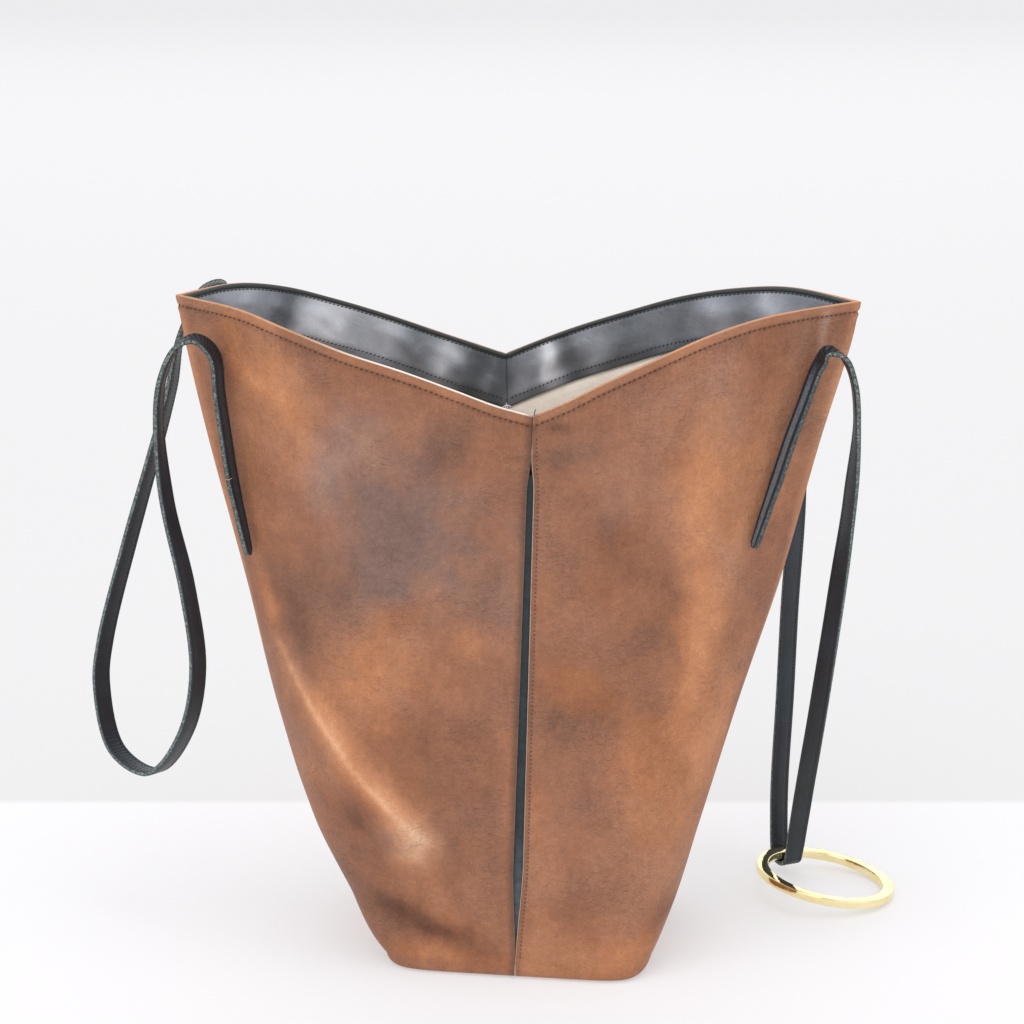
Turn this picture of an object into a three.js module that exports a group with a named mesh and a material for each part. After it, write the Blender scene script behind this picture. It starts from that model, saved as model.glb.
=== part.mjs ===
// Soft leather tote bag with two strap loops and a metal ring
// Lengths are in millimetres. The origin is the middle of the bottom face, where the bag stands.
// +X points to the right seen from the front, +Y to the back and +Z up.
import * as THREE from "three";

// Body sizes
const bagHeight = 392; // bottom to the two pointed corners of the rim
const topWidth = 394; // between the two pointed corners
const baseWidth = 168;
const openingDepth = 134; // front to back at the middle of the rim
const baseDepth = 142;
const notchDrop = 52; // depth of the dip at the middle of the rim
const seamBaseShift = 2.5; // both seams start this far to the left of the middle, at the bottom
const frontSeamLean = 11.7; // how far the front seam runs to the right over the whole height
const backSeamLean = 6.1; // how far the back seam runs to the left over the whole height
const baseTwist = 8.5; // degrees that the bottom is turned, right side forwards
const twistEndShare = 0.5; // share of the height where the turn has died out
const topSetback = 7; // the rim lies this far behind the bottom
const edgeRadius = 11; // rounding between the wall and the bottom

// Material thicknesses and clearances
const leatherThickness = 2;
const facingThickness = 1.6;
const liningThickness = 1;
const stripThickness = 1.2;
const pieceGap = 0.3; // between pieces that touch
const stripClearance = 0.6; // between the panels and the strip

// Slit of the front seam
const slitWidth = 6.4; // at its widest, near the bottom
const slitTopShare = 0.81; // share of bagHeight where the slit starts
const slitNarrowing = 0.42; // share of slitWidth that is lost on the way up
const stripWidth = 22;

// Facing and lining inside the rim
const facingHeight = 33;
const liningDrop = 1.5; // space between the lower edge of the facing and the lining

// Folds
const foldDepth = 6; // the deepest fold, straight out of or into the wall

// Straps
const strapWidth = 11.5;
const strapThickness = 3;
const strapChamfer = 0.8;
const anchorEndWidth = 7; // the sewn ends stand on edge on the wall and taper to this width

// Ring
const ringOuterDiameter = 86;
const ringBandWidth = 7.4; // seen from above
const ringBandHeight = 5;
const ringChamfer = 1.2;
const ringX = 188.5; // centre of the ring
const ringY = 58.5;
const ringClearance = 2; // between the ring and the strap that carries it
const ringTilt = 10.5; // degrees
const ringLiftAngle = 187; // direction from the centre to the raised side, degrees from +X towards +Y
const ringHoldAngle = 124; // the same to the place where the strap carries the ring

// Wall sections from the bottom up. height is a share of bagHeight. left and right are shares
// of the way from half the baseWidth to half the topWidth. swell is added to the depth as a
// share of it.
const sections = [
  { height: 0.0, left: 0.015, right: 0.0, swell: 0.0 },
  { height: 0.04, left: 0.065, right: 0.053, swell: 0.02 },
  { height: 0.1, left: 0.15, right: 0.121, swell: 0.03 },
  { height: 0.2, left: 0.332, right: 0.218, swell: 0.035 },
  { height: 0.36, left: 0.527, right: 0.385, swell: 0.035 },
  { height: 0.56, left: 0.666, right: 0.609, swell: 0.025 },
  { height: 0.78, left: 0.85, right: 0.807, swell: 0.01 },
  { height: 0.93, left: 0.96, right: 0.955, swell: 0.0 },
  { height: 1.0, left: 1.0, right: 1.0, swell: 0.0 },
];

// Powers that make a section fuller towards its left, right and side, at the same heights,
// with 1 for side at a sharp side fold.
const powers = [
  { height: 0.0, left: 5.8, right: 5.0, side: 4.8 },
  { height: 0.04, left: 4.8, right: 4.4, side: 4.2 },
  { height: 0.1, left: 4.4, right: 3.8, side: 3.5 },
  { height: 0.2, left: 3.9, right: 3.1, side: 2.6 },
  { height: 0.36, left: 3.4, right: 2.6, side: 1.8 },
  { height: 0.56, left: 3.1, right: 2.2, side: 1.25 },
  { height: 0.78, left: 2.9, right: 1.9, side: 1.05 },
  { height: 0.93, left: 2.7, right: 1.75, side: 1.0 },
  { height: 1.0, left: 2.6, right: 1.7, side: 1.0 },
];

// Dip of the rim as shares of notchDrop. across is the share of the way round from the seam
// to the side fold.
const rimRows = [
  { across: 0.0, frontLeft: 1.0, frontRight: 1.0, backLeft: 1.0, backRight: 1.0 },
  { across: 0.1, frontLeft: 0.88, frontRight: 0.847, backLeft: 0.866, backRight: 0.827 },
  { across: 0.2, frontLeft: 0.726, frontRight: 0.667, backLeft: 0.728, backRight: 0.659 },
  { across: 0.35, frontLeft: 0.515, frontRight: 0.44, backLeft: 0.502, backRight: 0.429 },
  { across: 0.5, frontLeft: 0.35, frontRight: 0.236, backLeft: 0.284, backRight: 0.21 },
  { across: 0.65, frontLeft: 0.165, frontRight: 0.103, backLeft: 0.082, backRight: 0.061 },
  { across: 0.8, frontLeft: 0.009, frontRight: 0.055, backLeft: -0.032, backRight: -0.014 },
  { across: 1.0, frontLeft: -0.026, frontRight: 0.05, backLeft: -0.026, backRight: 0.05 },
];

// Folds and dents, each along a line on the front or back wall. startX and endX are shares of
// half the topWidth, startZ and endZ of bagHeight, spread of bagHeight. lift is a share of
// foldDepth, outwards when positive.
const folds = [
  { face: "front", startX: -0.7, startZ: 0.43, endX: -0.5, endZ: 0.31, spread: 0.032, lift: 0.55 },
  { face: "front", startX: -0.5, startZ: 0.31, endX: -0.27, endZ: 0.21, spread: 0.034, lift: 0.95 },
  { face: "front", startX: -0.7, startZ: 0.56, endX: -0.63, endZ: 0.46, spread: 0.06, lift: -0.85 },
  { face: "front", startX: -0.56, startZ: 0.25, endX: -0.41, endZ: 0.18, spread: 0.04, lift: -0.6 },
  { face: "front", startX: -0.18, startZ: 0.21, endX: -0.22, endZ: 0.12, spread: 0.035, lift: -0.5 },
  { face: "front", startX: -0.44, startZ: 0.11, endX: -0.15, endZ: 0.06, spread: 0.022, lift: -0.35 },
  { face: "front", startX: -0.32, startZ: 0.56, endX: -0.2, endZ: 0.44, spread: 0.075, lift: 0.4 },
  { face: "front", startX: 0.5, startZ: 0.55, endX: 0.48, endZ: 0.3, spread: 0.05, lift: 0.5 },
  { face: "front", startX: 0.34, startZ: 0.6, endX: 0.28, endZ: 0.42, spread: 0.06, lift: -0.5 },
  { face: "front", startX: 0.42, startZ: 0.11, endX: 0.26, endZ: 0.06, spread: 0.025, lift: -0.35 },
  { face: "back", startX: 0.55, startZ: 0.5, endX: 0.3, endZ: 0.22, spread: 0.05, lift: 0.6 },
  { face: "back", startX: 0.2, startZ: 0.46, endX: 0.14, endZ: 0.2, spread: 0.06, lift: -0.55 },
  { face: "back", startX: -0.5, startZ: 0.44, endX: -0.28, endZ: 0.16, spread: 0.05, lift: 0.5 },
  { face: "back", startX: -0.34, startZ: 0.6, endX: -0.1, endZ: 0.42, spread: 0.06, lift: -0.45 },
];
const foldFadeStart = 0.6; // share of the height above which the folds die out
const foldFadeEnd = 0.76;
const foldSideStart = 0.8; // share of the way round from which the folds die out to the side

// Sewn ends of the straps. lowAcross and highAcross are shares of the way round from the seam
// to the side fold, lowZ and highZ are shares of bagHeight. turn is
// the direction of the width of the band in degrees from +X towards +Y.
const anchors = {
  leftFront: { corner: "frontLeft", lowAcross: 0.89, highAcross: 0.868, lowZ: 0.622, highZ: 0.93, turn: 68 },
  leftBack: { corner: "backLeft", lowAcross: 0.85, highAcross: 0.81, lowZ: 0.625, highZ: 0.935, turn: 112 },
  rightFront: { corner: "frontRight", lowAcross: 0.775, highAcross: 0.868, lowZ: 0.64, highZ: 0.91, turn: 112 },
  rightBack: { corner: "backRight", lowAcross: 0.74, highAcross: 0.78, lowZ: 0.62, highZ: 0.905, turn: 248 },
};

// Hanging parts of the straps from the front end to the back end. x is a share of half the
// topWidth, y of half the openingDepth from the middle of the rim and z of bagHeight.
const leftLoop = [
  { x: -0.936, y: -0.46, z: 0.955, turn: 74 },
  { x: -0.986, y: -0.55, z: 0.949, turn: 76 },
  { x: -1.03, y: -0.56, z: 0.905, turn: 77 },
  { x: -1.046, y: -0.54, z: 0.838, turn: 74 },
  { x: -1.029, y: -0.51, z: 0.714, turn: 60 },
  { x: -0.976, y: -0.48, z: 0.574, turn: 50 },
  { x: -0.952, y: -0.45, z: 0.446, turn: 46 },
  { x: -1.0, y: -0.26, z: 0.332, turn: 43 },
  { x: -1.115, y: 0.1, z: 0.247, turn: 42 },
  { x: -1.232, y: 0.4, z: 0.267, turn: 42 },
  { x: -1.276, y: 0.57, z: 0.362, turn: 42 },
  { x: -1.262, y: 0.62, z: 0.429, turn: 43 },
  { x: -1.178, y: 0.64, z: 0.589, turn: 48 },
  { x: -1.094, y: 0.63, z: 0.733, turn: 56 },
  { x: -1.04, y: 0.6, z: 0.83, turn: 66 },
  { x: -1.006, y: 0.575, z: 0.915, turn: 80 },
  { x: -0.937, y: 0.56, z: 0.985, turn: 96 },
  { x: -0.872, y: 0.53, z: 0.994, turn: 106 },
];
const rightLoopFront = [
  { x: 0.9, y: -0.37, z: 0.932, turn: 110 },
  { x: 0.94, y: -0.42, z: 0.927, turn: 105 },
  { x: 0.97, y: -0.42, z: 0.895, turn: 97 },
  { x: 0.987, y: -0.34, z: 0.827, turn: 94 },
  { x: 0.981, y: -0.06, z: 0.69, turn: 118 },
  { x: 0.955, y: 0.28, z: 0.513, turn: 140 },
  { x: 0.917, y: 0.7, z: 0.293, turn: 156 },
  { x: 0.893, y: 0.93, z: 0.171, turn: 170 },
  { x: 0.877, y: 1.09, z: 0.085, turn: 188 },
];
const rightLoopBack = [
  { x: 0.824, y: 1.4, z: 0.085, turn: 204 },
  { x: 0.822, y: 1.3, z: 0.16, turn: 203 },
  { x: 0.828, y: 1.12, z: 0.301, turn: 202 },
  { x: 0.834, y: 0.96, z: 0.474, turn: 204 },
  { x: 0.846, y: 0.83, z: 0.635, turn: 210 },
  { x: 0.84, y: 0.75, z: 0.8, turn: 224 },
  { x: 0.82, y: 0.71, z: 0.895, turn: 238 },
  { x: 0.788, y: 0.67, z: 0.925, turn: 246 },
];

// Mesh density
const quarterColumns = 12;
const wallSteps = [
  1, 0.965, 0.91, 0.84, 0.77, 0.7, 0.63, 0.57, 0.52, 0.475, 0.435,
  0.395, 0.36, 0.325, 0.29, 0.255, 0.22, 0.185, 0.15, 0.115, 0.08, 0.05,
];
const edgeAngles = [0, 30, 60, 90];
const liningSteps = [0.95, 0.82, 0.68, 0.54, 0.4, 0.27, 0.15, 0.06];
const liningEdgeAngles = [0, 45, 90];
const liningColumns = quarterColumns / 2;
const sectionSamples = 48;
const longestBandStep = 15;
const widestBandTurn = 22; // degrees
const ringSegments = 48;
const stripSteps = 22;
const anchorSteps = 5;
const anchorTaper = 2.5; // the sewn end reaches its full width this many times sooner than its top
const anchorClearance = 1.1; // room for the flat faces of the wall
const bendAngles = [0, 30, 60, 90, 120, 150, 180];
const bendTurn = 80; // degrees from the direction of the hold to the width of the strap
const facingSteps = [0, 0.5, 1];
const facingRimDrop = 0.6; // the facing ends this far below the rim
const slitUpperShare = 0.94; // shares of the height of the slit between which it has its full width
const slitLowerShare = 0.15;
const sharpestCorner = 0.4;
const probeShare = 0.01;

// Helpers for smooth curves through table rows
function smoothStep(low, high, value) {
  const share = Math.min(Math.max((value - low) / (high - low), 0), 1);
  return share * share * (3 - 2 * share);
}

function rowSlope(rows, key, column, index) {
  const before = rows[Math.max(index - 1, 0)];
  const after = rows[Math.min(index + 1, rows.length - 1)];
  return (after[column] - before[column]) / (after[key] - before[key]);
}

function smoothColumn(rows, key, column, value) {
  const last = rows.length - 1;
  const clamped = Math.min(Math.max(value, rows[0][key]), rows[last][key]);
  let index = 0;
  while (index < last - 1 && rows[index + 1][key] < clamped) index += 1;
  const low = rows[index];
  const high = rows[index + 1];
  const span = high[key] - low[key];
  const share = (clamped - low[key]) / span;
  const square = share * share;
  const cube = square * share;
  const lowSlope = rowSlope(rows, key, column, index) * span;
  const highSlope = rowSlope(rows, key, column, index + 1) * span;
  return (
    (2 * cube - 3 * square + 1) * low[column] +
    (cube - 2 * square + share) * lowSlope +
    (3 * square - 2 * cube) * high[column] +
    (cube - square) * highSlope
  );
}

// Body surface
const corners = {
  frontLeft: { name: "frontLeft", side: -1, face: -1 },
  frontRight: { name: "frontRight", side: 1, face: -1 },
  backLeft: { name: "backLeft", side: -1, face: 1 },
  backRight: { name: "backRight", side: 1, face: 1 },
};

function rimHeight(corner, across) {
  return bagHeight - notchDrop * smoothColumn(rimRows, "across", corner.name, across);
}

function foldLift(corner, x, z) {
  const face = corner.face < 0 ? "front" : "back";
  let lift = 0;
  for (const fold of folds) {
    if (fold.face !== face) continue;
    const startX = (fold.startX * topWidth) / 2;
    const startZ = fold.startZ * bagHeight;
    const alongX = (fold.endX * topWidth) / 2 - startX;
    const alongZ = fold.endZ * bagHeight - startZ;
    const reach = ((x - startX) * alongX + (z - startZ) * alongZ) / (alongX * alongX + alongZ * alongZ);
    const share = Math.min(Math.max(reach, 0), 1);
    const away = Math.hypot(x - startX - share * alongX, z - startZ - share * alongZ);
    const width = fold.spread * bagHeight;
    lift += fold.lift * foldDepth * Math.exp((-away * away) / (width * width));
  }
  return lift * foldShare(z);
}

function foldShare(z) {
  return 1 - smoothStep(foldFadeStart, foldFadeEnd, z / bagHeight);
}

// Turn of the lower part of the bag about the upright axis, in radians
function bottomTurn(z) {
  return -THREE.MathUtils.degToRad(baseTwist) * (1 - smoothStep(0, twistEndShare, z / bagHeight));
}

// One quarter of a wall section from the seam to the side fold, before the turn
function sectionLine(corner, z) {
  const height = Math.max(z, edgeRadius) / bagHeight;
  const sideName = corner.side < 0 ? "left" : "right";
  const flare = smoothColumn(sections, "height", sideName, height);
  const power = smoothColumn(powers, "height", sideName, height);
  const sidePower = Math.max(smoothColumn(powers, "height", "side", height), 1);
  const swell = smoothColumn(sections, "height", "swell", height);
  const half = baseWidth / 2 + ((topWidth - baseWidth) / 2) * flare;
  const depth = baseDepth + (openingDepth - baseDepth) * Math.min(height, 1);
  const reachY = (corner.face * depth * (1 + swell)) / 2;
  const lean = corner.face < 0 ? frontSeamLean : -backSeamLean;
  const turn = bottomTurn(height * bagHeight);
  // The turn carries this place to a straight seam
  const seam = (lean * height - seamBaseShift + reachY * Math.sin(turn)) / Math.cos(turn);
  const line = [];
  for (let step = 0; step <= sectionSamples; step += 1) {
    const angle = (step / sectionSamples) * (Math.PI / 2);
    const reach = Math.pow(Math.sin(angle), 2 / power);
    const bulge = step === sectionSamples ? 0 : Math.pow(Math.cos(angle), 2 / sidePower);
    line.push({
      x: seam + (corner.side * half - seam) * reach,
      y: reachY * bulge,
    });
  }
  return line;
}

function lineLengths(line) {
  const lengths = [0];
  for (let index = 1; index < line.length; index += 1) {
    const step = Math.hypot(line[index].x - line[index - 1].x, line[index].y - line[index - 1].y);
    lengths.push(lengths[index - 1] + step);
  }
  return lengths;
}

// Point of the outer wall. fromSeam keeps a distance from the seam.
function wallPoint(corner, across, z, fromSeam, folded) {
  const line = sectionLine(corner, z);
  const lengths = lineLengths(line);
  const total = lengths[lengths.length - 1];
  const target = fromSeam + (total - fromSeam) * across;
  let index = 1;
  while (index < line.length - 1 && lengths[index] < target) index += 1;
  const share = (target - lengths[index - 1]) / (lengths[index] - lengths[index - 1]);
  const low = line[index - 1];
  const high = line[index];
  const x = low.x + (high.x - low.x) * share;
  const flat = low.y + (high.y - low.y) * share;
  const lift = folded ? foldLift(corner, x, z) * (1 - smoothStep(foldSideStart, 1, across)) : 0;
  const y = flat + corner.face * lift;
  const turn = bottomTurn(z);
  const setback = topSetback * smoothStep(0, 1, z / bagHeight);
  return new THREE.Vector3(
    x * Math.cos(turn) - y * Math.sin(turn),
    x * Math.sin(turn) + y * Math.cos(turn) + setback,
    z,
  );
}

function wallNormal(corner, across, z) {
  const here = wallPoint(corner, across, z, 0, true);
  const beside = wallPoint(corner, across - probeShare, z, 0, true).sub(here);
  const above = wallPoint(corner, across, z + probeShare * bagHeight, 0, true).sub(here);
  const normal = beside.cross(above).normalize();
  return normal.y * corner.face < 0 ? normal.negate() : normal;
}

// Half the space between the two panels at a seam
function seamGap(corner, z) {
  const top = slitTopShare * bagHeight;
  if (corner.face > 0 || z >= top || z <= edgeRadius) return pieceGap / 2;
  const upper = 1 - smoothStep(slitUpperShare * top, top, z);
  const lower = smoothStep(edgeRadius, slitLowerShare * top, z);
  const open = slitWidth * (1 - (slitNarrowing * z) / top) * upper * lower;
  return (pieceGap + open) / 2;
}

// Columns of wall points from the front seam round one side to the back seam
function panelColumns(side, steps) {
  const front = side < 0 ? corners.frontLeft : corners.frontRight;
  const back = side < 0 ? corners.backLeft : corners.backRight;
  const columns = [];
  for (let step = 0; step <= steps; step += 1) {
    columns.push({ corner: front, across: step / steps });
  }
  for (let step = steps - 1; step >= 0; step -= 1) {
    columns.push({ corner: back, across: step / steps });
  }
  return columns;
}

// Directions away from a row of points in plan, long enough at a corner to keep the distance
function outwardSteps(row, side, wrapped) {
  const count = row.length;
  const sides = row.map((point, index) => {
    const next = row[(index + 1) % count];
    return new THREE.Vector2(next.y - point.y, point.x - next.x).normalize().multiplyScalar(side);
  });
  const seamLine = new THREE.Vector2(row[0].x - row[count - 1].x, row[0].y - row[count - 1].y).normalize();
  return row.map((point, index) => {
    if (!wrapped && index === 0) return seamLine.clone();
    if (!wrapped && index === count - 1) return seamLine.clone().negate();
    const before = wrapped ? sides[(index + count - 1) % count] : sides[Math.max(index - 1, 0)];
    const after = wrapped ? sides[index] : sides[Math.min(index, count - 2)];
    const middle = before.clone().add(after).normalize();
    return middle.divideScalar(Math.max(middle.dot(after), sharpestCorner));
  });
}

// One row moved inwards by distance. edgeAngle runs from 0 at the wall to 90 at the bottom.
function insetRow(row, steps, distance, edgeAngle) {
  const angle = THREE.MathUtils.degToRad(edgeAngle);
  const rounding = edgeRadius * (1 - Math.cos(angle));
  return row.map((point, index) => {
    const away = rounding + distance * Math.cos(angle);
    const drop = edgeRadius * Math.sin(angle);
    return new THREE.Vector3(
      point.x - steps[index].x * away,
      point.y - steps[index].y * away,
      point.z - drop + distance * Math.sin(angle),
    );
  });
}

// A closed solid between an outer and an inner grid of points. Rows run from top to bottom.
function sheetSolid(outer, inner, options) {
  const rows = outer.length;
  const count = outer[0].length;
  const positions = [];
  for (const grid of [outer, inner]) {
    for (const row of grid) {
      for (const point of row) positions.push(point.x, point.y, point.z);
    }
  }
  const out = (row, column) => row * count + (column % count);
  const back = (row, column) => rows * count + out(row, column);
  const triangles = [];
  const quad = (a, b, c, d) => triangles.push(a, b, c, a, c, d);
  const lastColumn = options.wrapped ? count : count - 1;
  const lastRow = rows - 1;
  for (let row = 0; row < lastRow; row += 1) {
    for (let column = 0; column < lastColumn; column += 1) {
      quad(out(row, column), out(row + 1, column), out(row + 1, column + 1), out(row, column + 1));
      quad(back(row, column + 1), back(row + 1, column + 1), back(row + 1, column), back(row, column));
    }
  }
  for (let column = 0; column < lastColumn; column += 1) {
    quad(out(0, column), out(0, column + 1), back(0, column + 1), back(0, column));
    if (!options.bottom) {
      quad(
        out(lastRow, column + 1),
        out(lastRow, column),
        back(lastRow, column),
        back(lastRow, column + 1),
      );
    }
  }
  if (!options.wrapped) {
    const last = count - 1;
    for (let row = 0; row < lastRow; row += 1) {
      quad(out(row + 1, 0), out(row, 0), back(row, 0), back(row + 1, 0));
      quad(out(row, last), out(row + 1, last), back(row + 1, last), back(row, last));
    }
  }
  if (options.bottom) {
    const half = options.wrapped ? count / 2 : (count - 1) / 2;
    const mirror = (column) => (options.wrapped ? (count - column) % count : count - 1 - column);
    for (let column = 0; column < half; column += 1) {
      const across = [column + 1, column, mirror(column), mirror(column + 1)];
      for (const corner of [across.slice(0, 3), [across[0], across[2], across[3]]]) {
        if (new Set(corner).size < 3) continue;
        triangles.push(...corner.map((index) => out(lastRow, index)));
        triangles.push(...corner.map((index) => back(lastRow, index)).reverse());
      }
    }
    if (!options.wrapped) {
      quad(out(lastRow, count - 1), out(lastRow, 0), back(lastRow, 0), back(lastRow, count - 1));
    }
  }
  return closedGeometry(positions, triangles);
}

function closedGeometry(positions, triangles) {
  const corner = (index) => new THREE.Vector3().fromArray(positions, index * 3);
  let volume = 0;
  for (let index = 0; index < triangles.length; index += 3) {
    const [a, b, c] = triangles.slice(index, index + 3).map(corner);
    volume += a.dot(b.cross(c));
  }
  const facing = volume < 0 ? triangles.slice().reverse() : triangles;
  const geometry = new THREE.BufferGeometry();
  geometry.setAttribute("position", new THREE.Float32BufferAttribute(positions, 3));
  geometry.setIndex(facing);
  geometry.computeVertexNormals();
  return geometry;
}

// Leather panels, each from the front seam round one side to the back seam with its half of
// the bottom
function panelGeometry(side) {
  const columns = panelColumns(side, quarterColumns);
  const outer = [];
  const inner = [];
  for (const step of wallSteps) {
    const row = columns.map(({ corner, across }) => {
      const z = edgeRadius + (rimHeight(corner, across) - edgeRadius) * step;
      return wallPoint(corner, across, z, seamGap(corner, z), true);
    });
    outer.push(row);
    inner.push(insetRow(row, outwardSteps(row, side, false), leatherThickness, 0));
  }
  const base = columns.map(({ corner, across }) =>
    wallPoint(corner, across, edgeRadius, seamGap(corner, edgeRadius), true),
  );
  const steps = outwardSteps(base, side, false);
  for (const angle of edgeAngles) {
    outer.push(insetRow(base, steps, 0, angle));
    inner.push(insetRow(base, steps, leatherThickness, angle));
  }
  return sheetSolid(outer, inner, { wrapped: false, bottom: true });
}

// Facing, a band inside the rim that moves away from the panel towards its lower edge to
// leave room for the strip behind the slit
const facingTopInset = leatherThickness + pieceGap;
const facingLowInset = leatherThickness + stripClearance + stripThickness + pieceGap;

function facingGeometry(side) {
  const columns = panelColumns(side, quarterColumns);
  const outer = [];
  const inner = [];
  for (const step of facingSteps) {
    const row = columns.map(({ corner, across }) => {
      const z = rimHeight(corner, across) - facingHeight * step - facingRimDrop;
      return wallPoint(corner, across, z, pieceGap / 2, true);
    });
    const steps = outwardSteps(row, side, false);
    const inset = facingTopInset + (facingLowInset - facingTopInset) * step;
    outer.push(insetRow(row, steps, inset, 0));
    inner.push(insetRow(row, steps, inset + facingThickness, 0));
  }
  return sheetSolid(outer, inner, { wrapped: false, bottom: false });
}

// Lining, an open bag below the facing that keeps clear of the deepest fold
const deepestFold = foldDepth * Math.max(...folds.map((fold) => -fold.lift));

function liningGeometry() {
  const ring = [];
  for (let step = liningColumns; step > 0; step -= 1) {
    ring.push({ corner: corners.frontLeft, across: step / liningColumns });
  }
  for (let step = 0; step < liningColumns; step += 1) {
    ring.push({ corner: corners.frontRight, across: step / liningColumns });
  }
  for (let step = liningColumns; step > 0; step -= 1) {
    ring.push({ corner: corners.backRight, across: step / liningColumns });
  }
  for (let step = 0; step < liningColumns; step += 1) {
    ring.push({ corner: corners.backLeft, across: step / liningColumns });
  }
  const outer = [];
  const inner = [];
  const addRow = (row, steps, inset, angle) => {
    outer.push(insetRow(row, steps, inset, angle));
    inner.push(insetRow(row, steps, inset + liningThickness, angle));
  };
  for (const step of liningSteps) {
    const row = ring.map(({ corner, across }) => {
      const top = rimHeight(corner, across) - facingHeight - facingRimDrop - liningDrop;
      return wallPoint(corner, across, edgeRadius + (top - edgeRadius) * step, 0, false);
    });
    const inset = row.map((point) => facingLowInset + deepestFold * foldShare(point.z));
    const steps = outwardSteps(row, 1, true);
    const moved = (extra) =>
      row.map((point, index) => {
        const away = inset[index] + extra;
        return new THREE.Vector3(point.x - steps[index].x * away, point.y - steps[index].y * away, point.z);
      });
    outer.push(moved(0));
    inner.push(moved(liningThickness));
  }
  const base = ring.map(({ corner, across }) => wallPoint(corner, across, edgeRadius, 0, false));
  const baseSteps = outwardSteps(base, 1, true);
  for (const angle of liningEdgeAngles) {
    const share = Math.cos(THREE.MathUtils.degToRad(angle));
    addRow(base, baseSteps, facingLowInset + deepestFold * share, angle);
  }
  return sheetSolid(outer, inner, { wrapped: true, bottom: true });
}

// Strip behind the slit
function stripGeometry() {
  const top = rimHeight(corners.frontLeft, 0) - facingHeight - facingRimDrop - liningDrop;
  const outer = [];
  const inner = [];
  for (let step = 0; step <= stripSteps; step += 1) {
    const z = top + (edgeRadius + leatherThickness - top) * (step / stripSteps);
    const reach = (corner) => {
      const line = sectionLine(corner, z);
      const total = lineLengths(line)[line.length - 1];
      return wallPoint(corner, stripWidth / 2 / total, z, 0, true);
    };
    const middle = wallPoint(corners.frontLeft, 0, z, 0, true);
    const row = [reach(corners.frontLeft), middle, reach(corners.frontRight)];
    const outward = new THREE.Vector2(row[2].y - row[0].y, row[0].x - row[2].x).normalize();
    const steps = row.map(() => outward);
    outer.push(insetRow(row, steps, leatherThickness + stripClearance, 0));
    inner.push(insetRow(row, steps, leatherThickness + stripClearance + stripThickness, 0));
  }
  return sheetSolid(outer, inner, { wrapped: false, bottom: false });
}

// Straps. Each row of a path holds a point, the direction of the width and the width.
function anchorRows(anchor) {
  const corner = corners[anchor.corner];
  const rows = [];
  for (let step = 0; step <= anchorSteps; step += 1) {
    const share = step / anchorSteps;
    const across = anchor.lowAcross + (anchor.highAcross - anchor.lowAcross) * share;
    const z = bagHeight * (anchor.lowZ + (anchor.highZ - anchor.lowZ) * share);
    const width = anchorEndWidth + (strapWidth - anchorEndWidth) * Math.min(share * anchorTaper, 1);
    const normal = wallNormal(corner, across, z);
    const direction = new THREE.Vector2(normal.x, normal.y).normalize();
    const radians = THREE.MathUtils.degToRad(anchor.turn);
    const facing = Math.abs(direction.x * Math.cos(radians) + direction.y * Math.sin(radians));
    const sideways = Math.sqrt(1 - facing * facing);
    const reach = (width * facing + strapThickness * sideways) / 2 + pieceGap + anchorClearance;
    rows.push({
      point: wallPoint(corner, across, z, 0, true).addScaledVector(normal, reach),
      turn: anchor.turn,
      width,
    });
  }
  return rows;
}

function loopRows(table) {
  return table.map((row) => ({
    point: new THREE.Vector3(
      (row.x * topWidth) / 2,
      topSetback + (row.y * openingDepth) / 2,
      row.z * bagHeight,
    ),
    turn: row.turn,
    width: strapWidth,
  }));
}

// Places along a path, closer together where it bends
function bandShares(curve, spans) {
  const shares = [0];
  for (let span = 0; span < spans; span += 1) {
    const start = span / spans;
    const end = (span + 1) / spans;
    const length = curve.getPoint(start).distanceTo(curve.getPoint(end));
    const bend = THREE.MathUtils.radToDeg(curve.getTangent(start).angleTo(curve.getTangent(end)));
    const steps = Math.max(Math.ceil(length / longestBandStep), Math.ceil(bend / widestBandTurn));
    for (let step = 1; step <= steps; step += 1) shares.push(start + step / steps / spans);
  }
  return shares;
}

// A flat band with chamfered edges along a smooth path through the rows
function bandGeometry(rows) {
  const curve = new THREE.CatmullRomCurve3(rows.map((row) => row.point));
  const rings = [];
  for (const share of bandShares(curve, rows.length - 1)) {
    const row = share * (rows.length - 1);
    const index = Math.min(Math.floor(row), rows.length - 2);
    const blend = smoothStep(0, 1, row - index);
    const turn = rows[index].turn + (rows[index + 1].turn - rows[index].turn) * blend;
    const width = rows[index].width + (rows[index + 1].width - rows[index].width) * blend;
    const radians = THREE.MathUtils.degToRad(turn);
    const tangent = curve.getTangent(share);
    const across = new THREE.Vector3(Math.cos(radians), Math.sin(radians), 0);
    across.addScaledVector(tangent, -across.dot(tangent)).normalize();
    const through = tangent.clone().cross(across);
    const halfWidth = width / 2;
    const halfThickness = strapThickness / 2;
    const outline = [
      [halfWidth - strapChamfer, -halfThickness],
      [halfWidth, strapChamfer - halfThickness],
      [halfWidth, halfThickness - strapChamfer],
      [halfWidth - strapChamfer, halfThickness],
      [strapChamfer - halfWidth, halfThickness],
      [-halfWidth, halfThickness - strapChamfer],
      [-halfWidth, strapChamfer - halfThickness],
      [strapChamfer - halfWidth, -halfThickness],
    ];
    const centre = curve.getPoint(share);
    const place = ([side, deep]) =>
      centre.clone().addScaledVector(across, side).addScaledVector(through, deep);
    rings.push(outline.map(place));
  }
  return tubeSolid(rings, false);
}

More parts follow.
